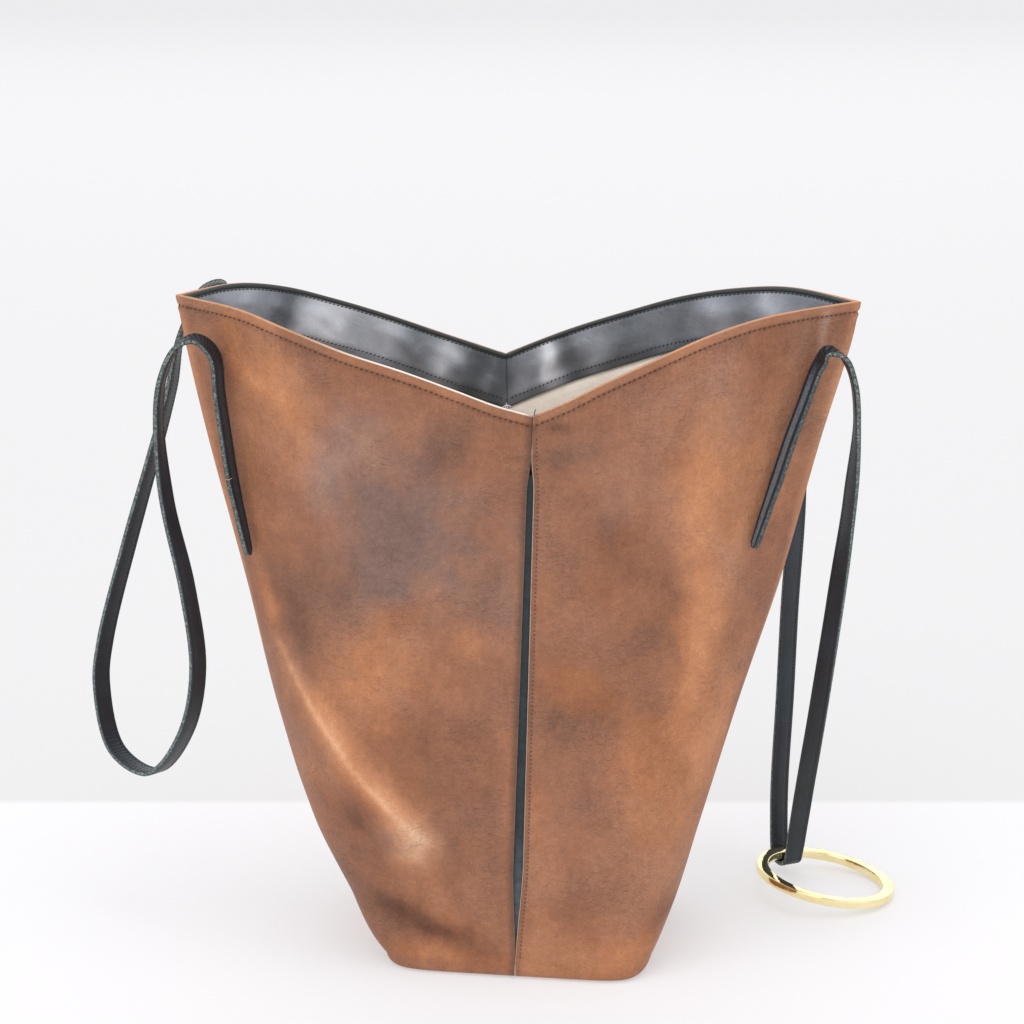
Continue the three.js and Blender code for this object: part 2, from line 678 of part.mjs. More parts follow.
// A closed solid through rings of points, closed on itself or with a flat face at each end
function tubeSolid(rings, wrapped) {
  const count = rings[0].length;
  const positions = rings.flat().flatMap((point) => point.toArray());
  const triangles = [];
  const at = (ring, index) => (ring % rings.length) * count + (index % count);
  const last = wrapped ? rings.length : rings.length - 1;
  for (let ring = 0; ring < last; ring += 1) {
    for (let index = 0; index < count; index += 1) {
      triangles.push(at(ring, index), at(ring + 1, index), at(ring + 1, index + 1));
      triangles.push(at(ring, index), at(ring + 1, index + 1), at(ring, index + 1));
    }
  }
  if (!wrapped) {
    for (let index = 1; index < count - 1; index += 1) {
      triangles.push(at(0, 0), at(0, index), at(0, index + 1));
      triangles.push(at(last, 0), at(last, index + 1), at(last, index));
    }
  }
  return closedGeometry(positions, triangles);
}

function leftStrapGeometry() {
  const front = anchorRows(anchors.leftFront);
  const back = anchorRows(anchors.leftBack).reverse();
  return bandGeometry([...front, ...loopRows(leftLoop), ...back]);
}

// Ring, tilted with its low side on the surface
const ringRadius = (ringOuterDiameter - ringBandWidth) / 2;
const ringTiltRadians = THREE.MathUtils.degToRad(ringTilt);
const ringLiftRadians = THREE.MathUtils.degToRad(ringLiftAngle);
const ringAxis = new THREE.Vector3(-Math.sin(ringLiftRadians), Math.cos(ringLiftRadians), 0);

function ringCentre() {
  const rotation = new THREE.Matrix4().makeRotationAxis(ringAxis, -ringTiltRadians);
  const lowest = Math.min(...ringPoints().map((point) => point.applyMatrix4(rotation).z));
  return { rotation, centre: new THREE.Vector3(ringX, ringY, -lowest) };
}

function ringOutline() {
  const halfWidth = ringBandWidth / 2;
  const halfHeight = ringBandHeight / 2;
  return [
    [halfWidth - ringChamfer, -halfHeight],
    [halfWidth, ringChamfer - halfHeight],
    [halfWidth, halfHeight - ringChamfer],
    [halfWidth - ringChamfer, halfHeight],
    [ringChamfer - halfWidth, halfHeight],
    [-halfWidth, halfHeight - ringChamfer],
    [-halfWidth, ringChamfer - halfHeight],
    [ringChamfer - halfWidth, -halfHeight],
  ];
}

function ringRings() {
  const rings = [];
  for (let segment = 0; segment < ringSegments; segment += 1) {
    const angle = (segment / ringSegments) * 2 * Math.PI;
    rings.push(
      ringOutline().map(([out, up]) => {
        const radius = ringRadius + out;
        return new THREE.Vector3(radius * Math.cos(angle), radius * Math.sin(angle), up);
      }),
    );
  }
  return rings;
}

function ringPoints() {
  return ringRings().flat();
}

function ringGeometry() {
  const { rotation, centre } = ringCentre();
  const geometry = tubeSolid(ringRings(), true);
  geometry.applyMatrix4(rotation);
  geometry.translate(centre.x, centre.y, centre.z);
  return geometry;
}

// Bend of the right strap round the raised side of the ring
function bendRows() {
  const { rotation, centre } = ringCentre();
  const holdRadians = THREE.MathUtils.degToRad(ringHoldAngle);
  const outward = new THREE.Vector3(Math.cos(holdRadians), Math.sin(holdRadians), 0);
  const middle = outward.clone().multiplyScalar(ringRadius).applyMatrix4(rotation).add(centre);
  const wide = ringBandWidth / 2 + ringClearance + strapThickness / 2;
  const deep = ringBandHeight / 2 + ringClearance + strapThickness / 2;
  const turn = ringHoldAngle + bendTurn;
  return bendAngles.map((degrees) => {
    const angle = THREE.MathUtils.degToRad(degrees);
    const point = middle.clone().addScaledVector(outward, -wide * Math.cos(angle));
    point.z -= deep * Math.sin(angle);
    return { point, turn, width: strapWidth };
  });
}

function rightStrapGeometry() {
  const front = anchorRows(anchors.rightFront);
  const back = anchorRows(anchors.rightBack).reverse();
  const rows = [...front, ...loopRows(rightLoopFront), ...bendRows(), ...loopRows(rightLoopBack), ...back];
  return bandGeometry(rows);
}

// Parts
const tanLeather = { color: 0x9c6d5a, roughness: 0.55, metalness: 0 };
const darkLeather = { color: 0x30343a, roughness: 0.5, metalness: 0 };
const creamCotton = { color: 0xcabeb4, roughness: 0.95, metalness: 0 };
const brass = { color: 0xd9b65f, roughness: 0.18, metalness: 1 };

const bag = new THREE.Group();
bag.name = "tote_bag";

function add(name, geometry, look) {
  const mesh = new THREE.Mesh(geometry, new THREE.MeshStandardMaterial(look));
  mesh.name = name;
  bag.add(mesh);
}

add("left_panel", panelGeometry(-1), tanLeather);
add("right_panel", panelGeometry(1), tanLeather);
add("facing_left", facingGeometry(-1), darkLeather);
add("facing_right", facingGeometry(1), darkLeather);
add("seam_strip", stripGeometry(), darkLeather);
add("lining", liningGeometry(), creamCotton);
add("left_strap", leftStrapGeometry(), darkLeather);
add("right_strap", rightStrapGeometry(), darkLeather);
add("ring", ringGeometry(), brass);

export default bag;
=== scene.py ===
import math

import bmesh
import bpy
import numpy as np
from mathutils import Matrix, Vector


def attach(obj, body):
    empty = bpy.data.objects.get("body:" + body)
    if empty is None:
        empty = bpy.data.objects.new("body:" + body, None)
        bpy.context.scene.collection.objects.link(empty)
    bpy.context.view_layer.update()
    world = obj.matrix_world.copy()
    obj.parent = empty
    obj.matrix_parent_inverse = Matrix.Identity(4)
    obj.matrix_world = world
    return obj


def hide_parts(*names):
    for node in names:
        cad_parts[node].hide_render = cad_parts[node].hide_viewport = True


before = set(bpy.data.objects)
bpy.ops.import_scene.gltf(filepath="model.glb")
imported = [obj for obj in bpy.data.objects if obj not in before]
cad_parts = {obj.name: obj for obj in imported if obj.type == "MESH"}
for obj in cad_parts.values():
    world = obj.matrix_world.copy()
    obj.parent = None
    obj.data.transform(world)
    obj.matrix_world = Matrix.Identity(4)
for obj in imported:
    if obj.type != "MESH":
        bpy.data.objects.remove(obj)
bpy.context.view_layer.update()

MM = 0.001  # the sizes below are in millimetres
UP = np.array([0.0, 0.0, 1.0])

# Camera at the photograph's angle
LENS = 144.28
CAMERA_TILT = math.radians(17.5)
CAMERA_DISTANCE = 2400.0
CAMERA_AIM = np.array([-4.0, 7.0, 262.0])

# Body sizes
BAG_HEIGHT = 392.0
TOP_WIDTH = 394.0
BASE_WIDTH = 168.0
OPENING_DEPTH = 134.0
BASE_DEPTH = 142.0
NOTCH_DROP = 52.0
SEAM_BASE_SHIFT = 2.5
FRONT_SEAM_LEAN = 11.7
BACK_SEAM_LEAN = 6.1
BASE_TWIST = math.radians(8.5)
TWIST_END = 0.5
TOP_SETBACK = 7.0
EDGE_RADIUS = 11.0
PANEL_ROUNDING = 6.0
LEATHER = 2.0
GAP = 0.3
STRIP_CLEARANCE = 0.6
STRIP_THICKNESS = 1.2
STRIP_WIDTH = 22.0
SLIT_WIDTH = 6.0
SLIT_TOP = 0.81 * BAG_HEIGHT
SLIT_NARROWING = 0.42
FACING_HEIGHT = 33.0
FACING_THICKNESS = 1.6
FACING_TOP_INSET = LEATHER + GAP
FACING_LOW_INSET = LEATHER + STRIP_CLEARANCE + STRIP_THICKNESS + GAP
LINING_DROP = 1.5
FACING_RIM_DROP = 0.6
FOLD_DEPTH = 6.0
STRAP_WIDTH = 11.5
STRAP_THICKNESS = 3.0
ANCHOR_END_WIDTH = 7.0
ANCHOR_CLEARANCE = 1.1
RING_DIAMETER = 86.0
RING_BAND_WIDTH = 7.4
RING_BAND_HEIGHT = 5.0
RING_ROUNDING = 0.9
RING_X = 188.5
RING_Y = 58.5
RING_CLEARANCE = 2.0
RING_TILT = math.radians(10.5)
RING_LIFT_ANGLE = math.radians(187)
RING_HOLD_ANGLE = 124.0
BEND_TURN = 80.0
BEND_ANGLES = (0, 30, 60, 90, 120, 150, 180)

# height, flare left, flare right, swell, square left, square right, square side
SECTIONS = np.array([
    (0.0, -0.15, -0.02, 0.0, 8.5, 8.5, 6.5),
    (0.04, -0.01, 0.045, 0.02, 6.2, 5.8, 5.2),
    (0.1, 0.125, 0.121, 0.03, 4.6, 4.0, 3.6),
    (0.2, 0.332, 0.218, 0.035, 3.9, 3.1, 2.6),
    (0.36, 0.512, 0.385, 0.035, 3.4, 2.6, 1.8),
    (0.56, 0.666, 0.609, 0.025, 3.1, 2.2, 1.25),
    (0.78, 0.85, 0.807, 0.01, 2.9, 1.9, 1.05),
    (0.93, 0.96, 0.955, 0.0, 2.7, 1.75, 1.0),
    (1.0, 1.0, 1.0, 0.0, 2.6, 1.7, 1.0),
])
# across, front left, front right, back left, back right
RIM = np.array([
    (0.0, 1.0, 1.0, 1.0, 1.0),
    (0.1, 0.88, 0.847, 0.866, 0.827),
    (0.2, 0.726, 0.667, 0.728, 0.659),
    (0.35, 0.515, 0.44, 0.502, 0.429),
    (0.5, 0.35, 0.236, 0.284, 0.21),
    (0.65, 0.165, 0.103, 0.082, 0.061),
    (0.8, 0.009, 0.055, -0.032, -0.014),
    (1.0, -0.026, 0.05, -0.026, 0.05),
])
# face, start x, start z, end x, end z, spread, lift
FOLDS = (
    (-1, -0.7, 0.43, -0.5, 0.31, 0.032, 0.55),
    (-1, -0.5, 0.31, -0.27, 0.21, 0.034, 0.95),
    (-1, -0.7, 0.56, -0.63, 0.46, 0.06, -0.85),
    (-1, -0.56, 0.25, -0.41, 0.18, 0.04, -0.6),
    (-1, -0.18, 0.21, -0.22, 0.12, 0.035, -0.5),
    (-1, -0.44, 0.11, -0.15, 0.06, 0.022, -0.35),
    (-1, -0.32, 0.56, -0.2, 0.44, 0.075, 0.4),
    (-1, 0.5, 0.55, 0.48, 0.3, 0.05, 0.5),
    (-1, 0.34, 0.6, 0.28, 0.42, 0.06, -0.5),
    (-1, 0.42, 0.11, 0.26, 0.06, 0.025, -0.35),
    (1, 0.55, 0.5, 0.3, 0.22, 0.05, 0.6),
    (1, 0.2, 0.46, 0.14, 0.2, 0.06, -0.55),
    (1, -0.5, 0.44, -0.28, 0.16, 0.05, 0.5),
    (1, -0.34, 0.6, -0.1, 0.42, 0.06, -0.45),
)
FOLD_FADE = (0.6, 0.76)
FOLD_SIDE = 0.8
# corner, low across, high across, low height, high height, turn
ANCHORS = {
    "left_front": ("front_left", 0.89, 0.868, 0.622, 0.93, 68),
    "left_back": ("back_left", 0.85, 0.81, 0.625, 0.935, 112),
    "right_front": ("front_right", 0.775, 0.868, 0.64, 0.91, 112),
    "right_back": ("back_right", 0.74, 0.78, 0.62, 0.905, 248),
}
# x, y, z, turn
LEFT_LOOP = (
    (-0.936, -0.46, 0.955, 74), (-0.986, -0.55, 0.949, 76), (-1.03, -0.56, 0.905, 77),
    (-1.046, -0.54, 0.838, 74), (-1.029, -0.51, 0.714, 60), (-0.976, -0.48, 0.574, 50),
    (-0.952, -0.45, 0.446, 46), (-1.0, -0.26, 0.332, 43), (-1.115, 0.1, 0.247, 42),
    (-1.232, 0.4, 0.267, 42), (-1.276, 0.57, 0.362, 42), (-1.262, 0.62, 0.429, 43),
    (-1.178, 0.64, 0.589, 48), (-1.094, 0.63, 0.733, 56), (-1.04, 0.6, 0.83, 66),
    (-1.006, 0.575, 0.915, 80), (-0.937, 0.56, 0.985, 96), (-0.872, 0.53, 0.994, 106),
)
RIGHT_LOOP_FRONT = (
    (0.9, -0.37, 0.932, 110), (0.94, -0.42, 0.927, 105), (0.97, -0.42, 0.895, 97),
    (0.987, -0.34, 0.827, 94), (0.981, -0.06, 0.69, 118), (0.955, 0.28, 0.513, 140),
    (0.917, 0.7, 0.293, 156), (0.893, 0.93, 0.171, 170), (0.877, 1.09, 0.085, 188),
)
RIGHT_LOOP_BACK = (
    (0.824, 1.4, 0.085, 204), (0.822, 1.3, 0.16, 203), (0.828, 1.12, 0.301, 202),
    (0.834, 0.96, 0.474, 204), (0.846, 0.83, 0.635, 210), (0.84, 0.75, 0.8, 224),
    (0.82, 0.71, 0.895, 238), (0.788, 0.67, 0.925, 246),
)
CORNERS = {
    "front_left": (-1, -1, 1),
    "front_right": (1, -1, 2),
    "back_left": (-1, 1, 3),
    "back_right": (1, 1, 4),
}

# Counts of the meshes
PANEL_COLUMNS = (100, 88)
PANEL_ROWS = 172
FACING_COLUMNS = (90, 84)
FACING_ROWS = 15
LINING_COLUMNS = 44
LINING_ROWS = 70
STRIP_ROWS = 120
FLAT_STEPS = 6
SPAN_STEPS = 9
RING_SEGMENTS = 220


# Smooth curves through tables
def smooth_step(low, high, value):
    share = np.clip((np.asarray(value, float) - low) / (high - low), 0, 1)
    return share * share * (3 - 2 * share)


def smooth_column(keys, values, at):
    at = np.clip(at, keys[0], keys[-1])
    last = len(keys) - 1
    index = np.clip(np.searchsorted(keys, at, side="right") - 1, 0, last - 1)
    before = np.maximum(np.arange(last + 1) - 1, 0)
    after = np.minimum(np.arange(last + 1) + 1, last)
    slope = (values[after] - values[before]) / (keys[after] - keys[before])
    span = keys[index + 1] - keys[index]
    share = (at - keys[index]) / span
    square, cube = share ** 2, share ** 3
    return (
        (2 * cube - 3 * square + 1) * values[index]
        + (cube - 2 * square + share) * slope[index] * span
        + (3 * square - 2 * cube) * values[index + 1]
        + (cube - square) * slope[index + 1] * span
    )


def ripple(x, z, seed, longest, shortest, count):
    """A smooth random field between about -1 and 1."""
    rng = np.random.default_rng(seed)
    total = np.zeros(np.broadcast(x, z).shape)
    for _ in range(count):
        angle, phase = rng.uniform(0, math.pi), rng.uniform(0, 2 * math.pi)
        wave = 2 * math.pi / rng.uniform(shortest, longest)
        total += np.sin(wave * (x * math.cos(angle) + z * math.sin(angle)) + phase)
    return total / math.sqrt(count * 2)


# Body surface
LINE_HEIGHTS = np.linspace(PANEL_ROUNDING, BAG_HEIGHT * 1.03, 700)
LINE_SHARES = np.linspace(0, 1, 401)


def bottom_turn(z):
    return -BASE_TWIST * (1 - smooth_step(0, TWIST_END, z / BAG_HEIGHT))


def section_lines(name):
    side, face, _ = CORNERS[name]
    height = LINE_HEIGHTS / BAG_HEIGHT
    flare = smooth_column(SECTIONS[:, 0], SECTIONS[:, 1 if side < 0 else 2], height)
    swell = smooth_column(SECTIONS[:, 0], SECTIONS[:, 3], height)
    square = smooth_column(SECTIONS[:, 0], SECTIONS[:, 4 if side < 0 else 5], height)
    square_side = np.maximum(smooth_column(SECTIONS[:, 0], SECTIONS[:, 6], height), 1)
    half = BASE_WIDTH / 2 + (TOP_WIDTH - BASE_WIDTH) / 2 * flare
    depth = BASE_DEPTH + (OPENING_DEPTH - BASE_DEPTH) * np.minimum(height, 1)
    reach_y = face * depth * (1 + swell) / 2
    lean = FRONT_SEAM_LEAN if face < 0 else -BACK_SEAM_LEAN
    turn = bottom_turn(LINE_HEIGHTS)
    seam = (lean * height - SEAM_BASE_SHIFT + reach_y * np.sin(turn)) / np.cos(turn)
    angle = np.linspace(0, 1, 900) ** 1.7 * math.pi / 2
    reach = np.sin(angle)[None, :] ** (2 / square[:, None])
    bulge = np.cos(angle)[None, :].clip(0) ** (2 / square_side[:, None])
    bulge[:, -1] = 0
    x = seam[:, None] + (side * half - seam)[:, None] * reach
    y = reach_y[:, None] * bulge
    steps = np.hypot(np.diff(x, axis=1), np.diff(y, axis=1))
    lengths = np.concatenate([np.zeros((len(x), 1)), np.cumsum(steps, axis=1)], axis=1)
    total = lengths[:, -1]
    xs, ys = (
        np.stack([np.interp(LINE_SHARES * t, row, line) for t, row, line in zip(total, lengths, values)])
        for values in (x, y)
    )
    return xs, ys, total


LINES = {name: section_lines(name) for name in CORNERS}


def rim_height(name, across):
    column = CORNERS[name][2]
    return BAG_HEIGHT - NOTCH_DROP * smooth_column(RIM[:, 0], RIM[:, column], across)


def fold_share(z):
    return 1 - smooth_step(*FOLD_FADE, z / BAG_HEIGHT)


def fold_lift(face, x, z):
    lift = np.zeros(np.broadcast(x, z).shape)
    for side, start_x, start_z, end_x, end_z, spread, amount in FOLDS:
        if side != face:
            continue
        sx, sz = start_x * TOP_WIDTH / 2, start_z * BAG_HEIGHT
        ax, az = end_x * TOP_WIDTH / 2 - sx, end_z * BAG_HEIGHT - sz
        share = np.clip(((x - sx) * ax + (z - sz) * az) / (ax * ax + az * az), 0, 1)
        away = np.hypot(x - sx - share * ax, z - sz - share * az)
        lift += amount * FOLD_DEPTH * np.exp(-((away / (spread * BAG_HEIGHT)) ** 2))
    return lift * fold_share(z)


def wall(name, across, z, from_seam=0.0, folded=True, extra=None):
    """Points of the outer wall; across and z are arrays."""
    side, face, _ = CORNERS[name]
    xs, ys, total = LINES[name]
    spacing = LINE_HEIGHTS[1] - LINE_HEIGHTS[0]
    row = (np.clip(z, LINE_HEIGHTS[0], LINE_HEIGHTS[-1]) - LINE_HEIGHTS[0]) / spacing
    row_low = np.clip(np.floor(row).astype(int), 0, len(LINE_HEIGHTS) - 2)
    row_part = row - row_low
    length = total[row_low] * (1 - row_part) + total[row_low + 1] * row_part
    share = (from_seam + (length - from_seam) * across) / length
    column = np.clip(share, 0, 1) * (len(LINE_SHARES) - 1)
    col_low = np.clip(np.floor(column).astype(int), 0, len(LINE_SHARES) - 2)
    col_part = column - col_low

    def pick(values):
        low, high = (
            values[row, col_low] * (1 - col_part) + values[row, col_low + 1] * col_part
            for row in (row_low, row_low + 1)
        )
        return low * (1 - row_part) + high * row_part

    x, flat = pick(xs), pick(ys)
    side_fade = 1 - smooth_step(FOLD_SIDE, 1, across)
    lift = fold_lift(face, x, z) * side_fade if folded else 0.0
    if extra is not None:
        lift = lift + extra(name, x, z, across)
    y = flat + face * lift
    turn = bottom_turn(z)
    setback = TOP_SETBACK * smooth_step(0, 1, z / BAG_HEIGHT)
    return np.stack([
        x * np.cos(turn) - y * np.sin(turn),
        x * np.sin(turn) + y * np.cos(turn) + setback,
        z,
    ], axis=-1)


def seam_gap(name, z):
    half = np.full(np.shape(z), GAP / 2)
    if CORNERS[name][1] > 0:
        return half
    upper = 1 - smooth_step(0.93 * SLIT_TOP, SLIT_TOP, z)
    lower = smooth_step(EDGE_RADIUS, 0.23 * SLIT_TOP, z)
    opened = SLIT_WIDTH * (1 - SLIT_NARROWING * z / SLIT_TOP) * upper * lower
    return half + np.where((z >= SLIT_TOP) | (z <= EDGE_RADIUS), 0, opened) / 2


def unit(v):
    return v / np.maximum(np.linalg.norm(v, axis=-1, keepdims=True), 1e-9)


def travel(line):
    """Distance along a line of points to each of its points."""
    steps = np.linalg.norm(np.diff(line, axis=0), axis=1)
    return np.concatenate([[0], np.cumsum(steps)])


def along_line(values, distances, at):
    """The values of a line at other distances along it."""
    return np.stack([np.interp(at, distances, values[:, k]) for k in range(3)], axis=-1)


def plan_outward(row, side, closed=False):
    """Plan directions away from a row of points that runs round one side."""
    ahead = np.roll(row, -1, axis=0) - row
    direction = np.stack([ahead[:, 1], -ahead[:, 0]], axis=1) * side
    direction = unit(direction)
    if not closed:
        direction[-1] = direction[-2]
    before = np.roll(direction, 1, axis=0)
    if not closed:
        before[0] = direction[0]
    middle = unit(before + direction)
    middle = middle / np.maximum((middle * direction).sum(1, keepdims=True), 0.4)
    if not closed:
        line = unit(row[0, :2] - row[-1, :2])
        for index in range(4):
            share = index / 4
            middle[index] = unit(line * (1 - share) + middle[index] * share)
            middle[-1 - index] = unit(-line * (1 - share) + middle[-1 - index] * share)
    return middle

def trimmed_end(moved, fold, inward, toward):
    """Cuts a chain where it crosses the line inwards from a side fold at its last point."""
    sides = toward * (inward[0] * (moved[:, 1] - fold[1]) - inward[1] * (moved[:, 0] - fold[0]))
    middle = len(sides) // 2
    wrong = np.nonzero(sides[middle:] <= 1e-6)[0]
    first = middle + wrong[0] if len(wrong) else len(sides) - 1
    before, after = sides[first - 1], sides[first]
    share = before / max(before - after, 1e-9)
    tip = moved[first - 1] + (moved[first] - moved[first - 1]) * min(max(share, 0), 1)
    return moved[:first], tip


def moved_in(row, out, inset, folds):
    """A row of points moved inwards in plan, kept clear of itself at each side fold in folds.

    Each chain runs between two places that are a fold or the end of the row."""
    count = len(row)
    moved = row.copy()
    moved[:, :2] -= out * np.broadcast_to(np.asarray(inset, float), (count,))[:, None]
    result = moved.copy()
    if len(folds) > 1:
        ends = [(folds[0], folds[1]), (folds[1], folds[0])]
        spans = [np.arange(folds[0], folds[1] + 1), np.arange(folds[1], folds[0] + count + 1) % count]
    else:
        ends = [(None, folds[0]), (folds[0], None)]
        spans = [np.arange(0, folds[0] + 1), np.arange(folds[0], count)]
    found, chains = {}, []
    for span, (start, stop) in zip(spans, ends):
        chain, whole = moved[span], row[span]
        for place, turned in ((stop, False), (start, True)):
            if place is None:
                continue
            inward = -unit(out[place])
            across = whole[len(whole) // 2] - row[place]
            toward = np.sign(inward[0] * across[1] - inward[1] * across[0])
            kept, tip = trimmed_end(chain[::-1] if turned else chain, row[place], inward, toward)
            tip[2] = row[place][2]
            found.setdefault(place, []).append(tip)
            chain = kept[::-1] if turned else kept
        chains.append(chain)
    tips = {place: np.mean(places, axis=0)[None] for place, places in found.items()}
    nothing = np.zeros((0, 3))
    for span, (start, stop), chain in zip(spans, ends, chains):
        chain = np.concatenate([tips.get(start, nothing), chain, tips.get(stop, nothing)])
        reach, share = travel(chain[:, :2]), travel(row[span][:, :2])
        result[span] = along_line(chain, reach, share / share[-1] * reach[-1])
    return result


def rows_at(groups, z, gap, folded=True, extra=None):
    """A row of wall points round the groups of a corner's name and shares, at the heights z."""
    parts, start = [], 0
    for name, across in groups:
        here = z[start:start + len(across)]
        parts.append(wall(name, across, here, gap(name, here) if callable(gap) else gap, folded, extra))
        start += len(across)
    return np.concatenate(parts)


def rims_of(groups):
    return np.concatenate([rim_height(name, across) for name, across in groups])


# Mesh helpers
def mesh_object(name, points, faces, attributes=None, smooth=True):
    mesh = bpy.data.meshes.new(name)
    mesh.from_pydata((np.asarray(points) * MM).tolist(), [], [list(map(int, f)) for f in faces])
    mesh.update()
    for key, values in (attributes or {}).items():
        layer = mesh.attributes.new(key, "FLOAT", "POINT")
        layer.data.foreach_set("value", np.asarray(values, np.float32).ravel())
    if smooth:
        mesh.polygons.foreach_set("use_smooth", [True] * len(mesh.polygons))
    made = bpy.data.objects.new(name, mesh)
    bpy.context.scene.collection.objects.link(made)
    return made


def grid_faces(rows, columns, closed_columns=False, closed_rows=False):
    """Quads between neighbours of a grid of points."""
    wide = columns if closed_columns else columns - 1
    tall = rows if closed_rows else rows - 1
    r, c = np.meshgrid(np.arange(tall), np.arange(wide), indexing="ij")
    r1, c1 = (r + 1) % rows, (c + 1) % columns
    corners = (r * columns + c, r1 * columns + c, r1 * columns + c1, r * columns + c1)
    return np.stack(corners, axis=-1).reshape(-1, 4).tolist()


def tube_faces(rings, count):
    """Faces of a closed tube with flat ends."""
    last = (rings - 1) * count
    return grid_faces(rings, count, closed_columns=True) + [
        list(range(count)), list(range(last, last + count))[::-1],
    ]


def end_faces(count, outer_rows, roll_rows):
    """Closes both ends of a folded grid, where each outer row meets the inner row of its height."""
    faces = []
    for column in (0, count - 1):
        for i in range(outer_rows - 1):
            near = outer_rows + roll_rows + i
            rows = (outer_rows - 1 - i, near, near + 1, outer_rows - 2 - i)
            faces.append([row * count + column for row in rows])
        faces.append([(outer_rows - 1 + k) * count + column for k in range(roll_rows + 2)])
    return faces


def fill_flat(points, faces, row, start, pairs):
    """Fills a flat closed row, whose points begin at start, with lines between pairs of its points."""
    lines = []
    for k, mirror in pairs:
        line = [start + k]
        if mirror != k:
            shares = np.arange(1, FLAT_STEPS)[:, None] / FLAT_STEPS
            line += list(range(len(points), len(points) + FLAT_STEPS - 1)) + [start + mirror]
            points = np.concatenate([points, row[k] + (row[mirror] - row[k]) * shares])
        lines.append(line)
    for a, b in zip(lines[:-1], lines[1:]):
        if len(a) == 1:
            faces += [[a[0], b[i], b[i + 1]] for i in range(len(b) - 1)]
        elif len(b) == 1:
            faces += [[a[i], b[0], a[i + 1]] for i in range(len(a) - 1)]
        else:
            faces += [[a[i], b[i], b[i + 1], a[i + 1]] for i in range(len(a) - 1)]
    return points, lines


ROLL_ANGLES = np.radians((30, 60, 90, 120, 150))


def rim_roll(outer, inner, rise):
    """Rows of a rounded edge between the first outer and the first inner row."""
    centre, half = (outer + inner) / 2, (outer - inner) / 2
    return [centre + half * math.cos(a) + rise * math.sin(a) * UP for a in ROLL_ANGLES]


def face_out(made):
    """Turns all faces outwards."""
    work = bmesh.new()
    work.from_mesh(made.data)
    bmesh.ops.recalc_face_normals(work, faces=work.faces)
    work.to_mesh(made.data)
    work.free()


# Small relief of the soft leather that the solids leave out
KNOB = (-0.3 * TOP_WIDTH / 2, 0.218 * BAG_HEIGHT)
KNOB_TURN = math.radians(-28)
KNOB_LIFT = 3.4
CREST_LIFT = 2.2
COLUMN_EASE = 0.099


def hump(value, middle, width):
    """A bell from 0 to 1 round a middle."""
    return np.exp(-(((value - middle) / width) ** 2))


def small_relief(name, x, z, across):
    face = CORNERS[name][1]
    height = z / BAG_HEIGHT
    calm = smooth_step(0.02, 0.12, height) * (1 - smooth_step(0.84, 0.97, height))
    relief = 0.5 * ripple(x, z, 11 + face, 95, 45, 9) + 0.15 * ripple(x, z * 0.7, 31 + face, 30, 14, 14)
    if face < 0:
        away, place = crest_distance(x, z)
        ends = smooth_step(0, 0.15, place) * (1 - smooth_step(0.93, 1, place) * 0.3)
        sharp = np.exp(-(np.sqrt(away ** 2 + 6.0) - 2.45) / np.where(away > 0, 8.0, 13.0))
        relief += CREST_LIFT * sharp * ends * (1 - smooth_step(0.62, 0.86, across))
        dx, dz = x - KNOB[0], z - KNOB[1]
        u = dx * math.cos(KNOB_TURN) + dz * math.sin(KNOB_TURN)
        v = dz * math.cos(KNOB_TURN) - dx * math.sin(KNOB_TURN)
        relief += KNOB_LIFT * hump(u, 0, np.where(u > 0, 9.0, 24.0)) * hump(v, 0, 13.0)
    return relief * calm * (1 - smooth_step(0.86, 1, across))


def panel_columns(steps, side):
    """Corner names and shares from the front seam round the side fold to the back seam."""
    label = "left" if side < 0 else "right"
    front, back = (np.linspace(0, 1, n + 1) for n in steps)
    front, back = (t - COLUMN_EASE * np.sin(2 * math.pi * t) for t in (front, back))
    return [("front_" + label, front), ("back_" + label, back[::-1][1:])]


def rim_bulge(down):
    """How far the turned rim stands out of the wall, by the distance below the rim."""
    turned = 0.3 * (1 - smooth_step(4.0, 6.0, down))
    return turned - 0.28 * hump(down, RIM_SEWN, 0.65) + 0.22 * hump(down, 8.4, 1.4)


def round_bottom(grid, base, out, radius, inset, angle, folds):
    """Adds a row of the rounding between a wall and the bottom."""
    row = moved_in(base, out, radius * (1 - math.cos(angle)) + inset * math.cos(angle), folds)
    row[:, 2] += (inset - radius) * math.sin(angle)
    grid.append(row)


RIM_SEWN = 6.3
RIM_DOWNS = np.array([0.9, 1.5, 2.2, 3.0, 3.8, 4.6, 5.3, 5.8, RIM_SEWN, 6.8, 7.4, 8.2, 9.2, 10.4, 12.0, 13.8])


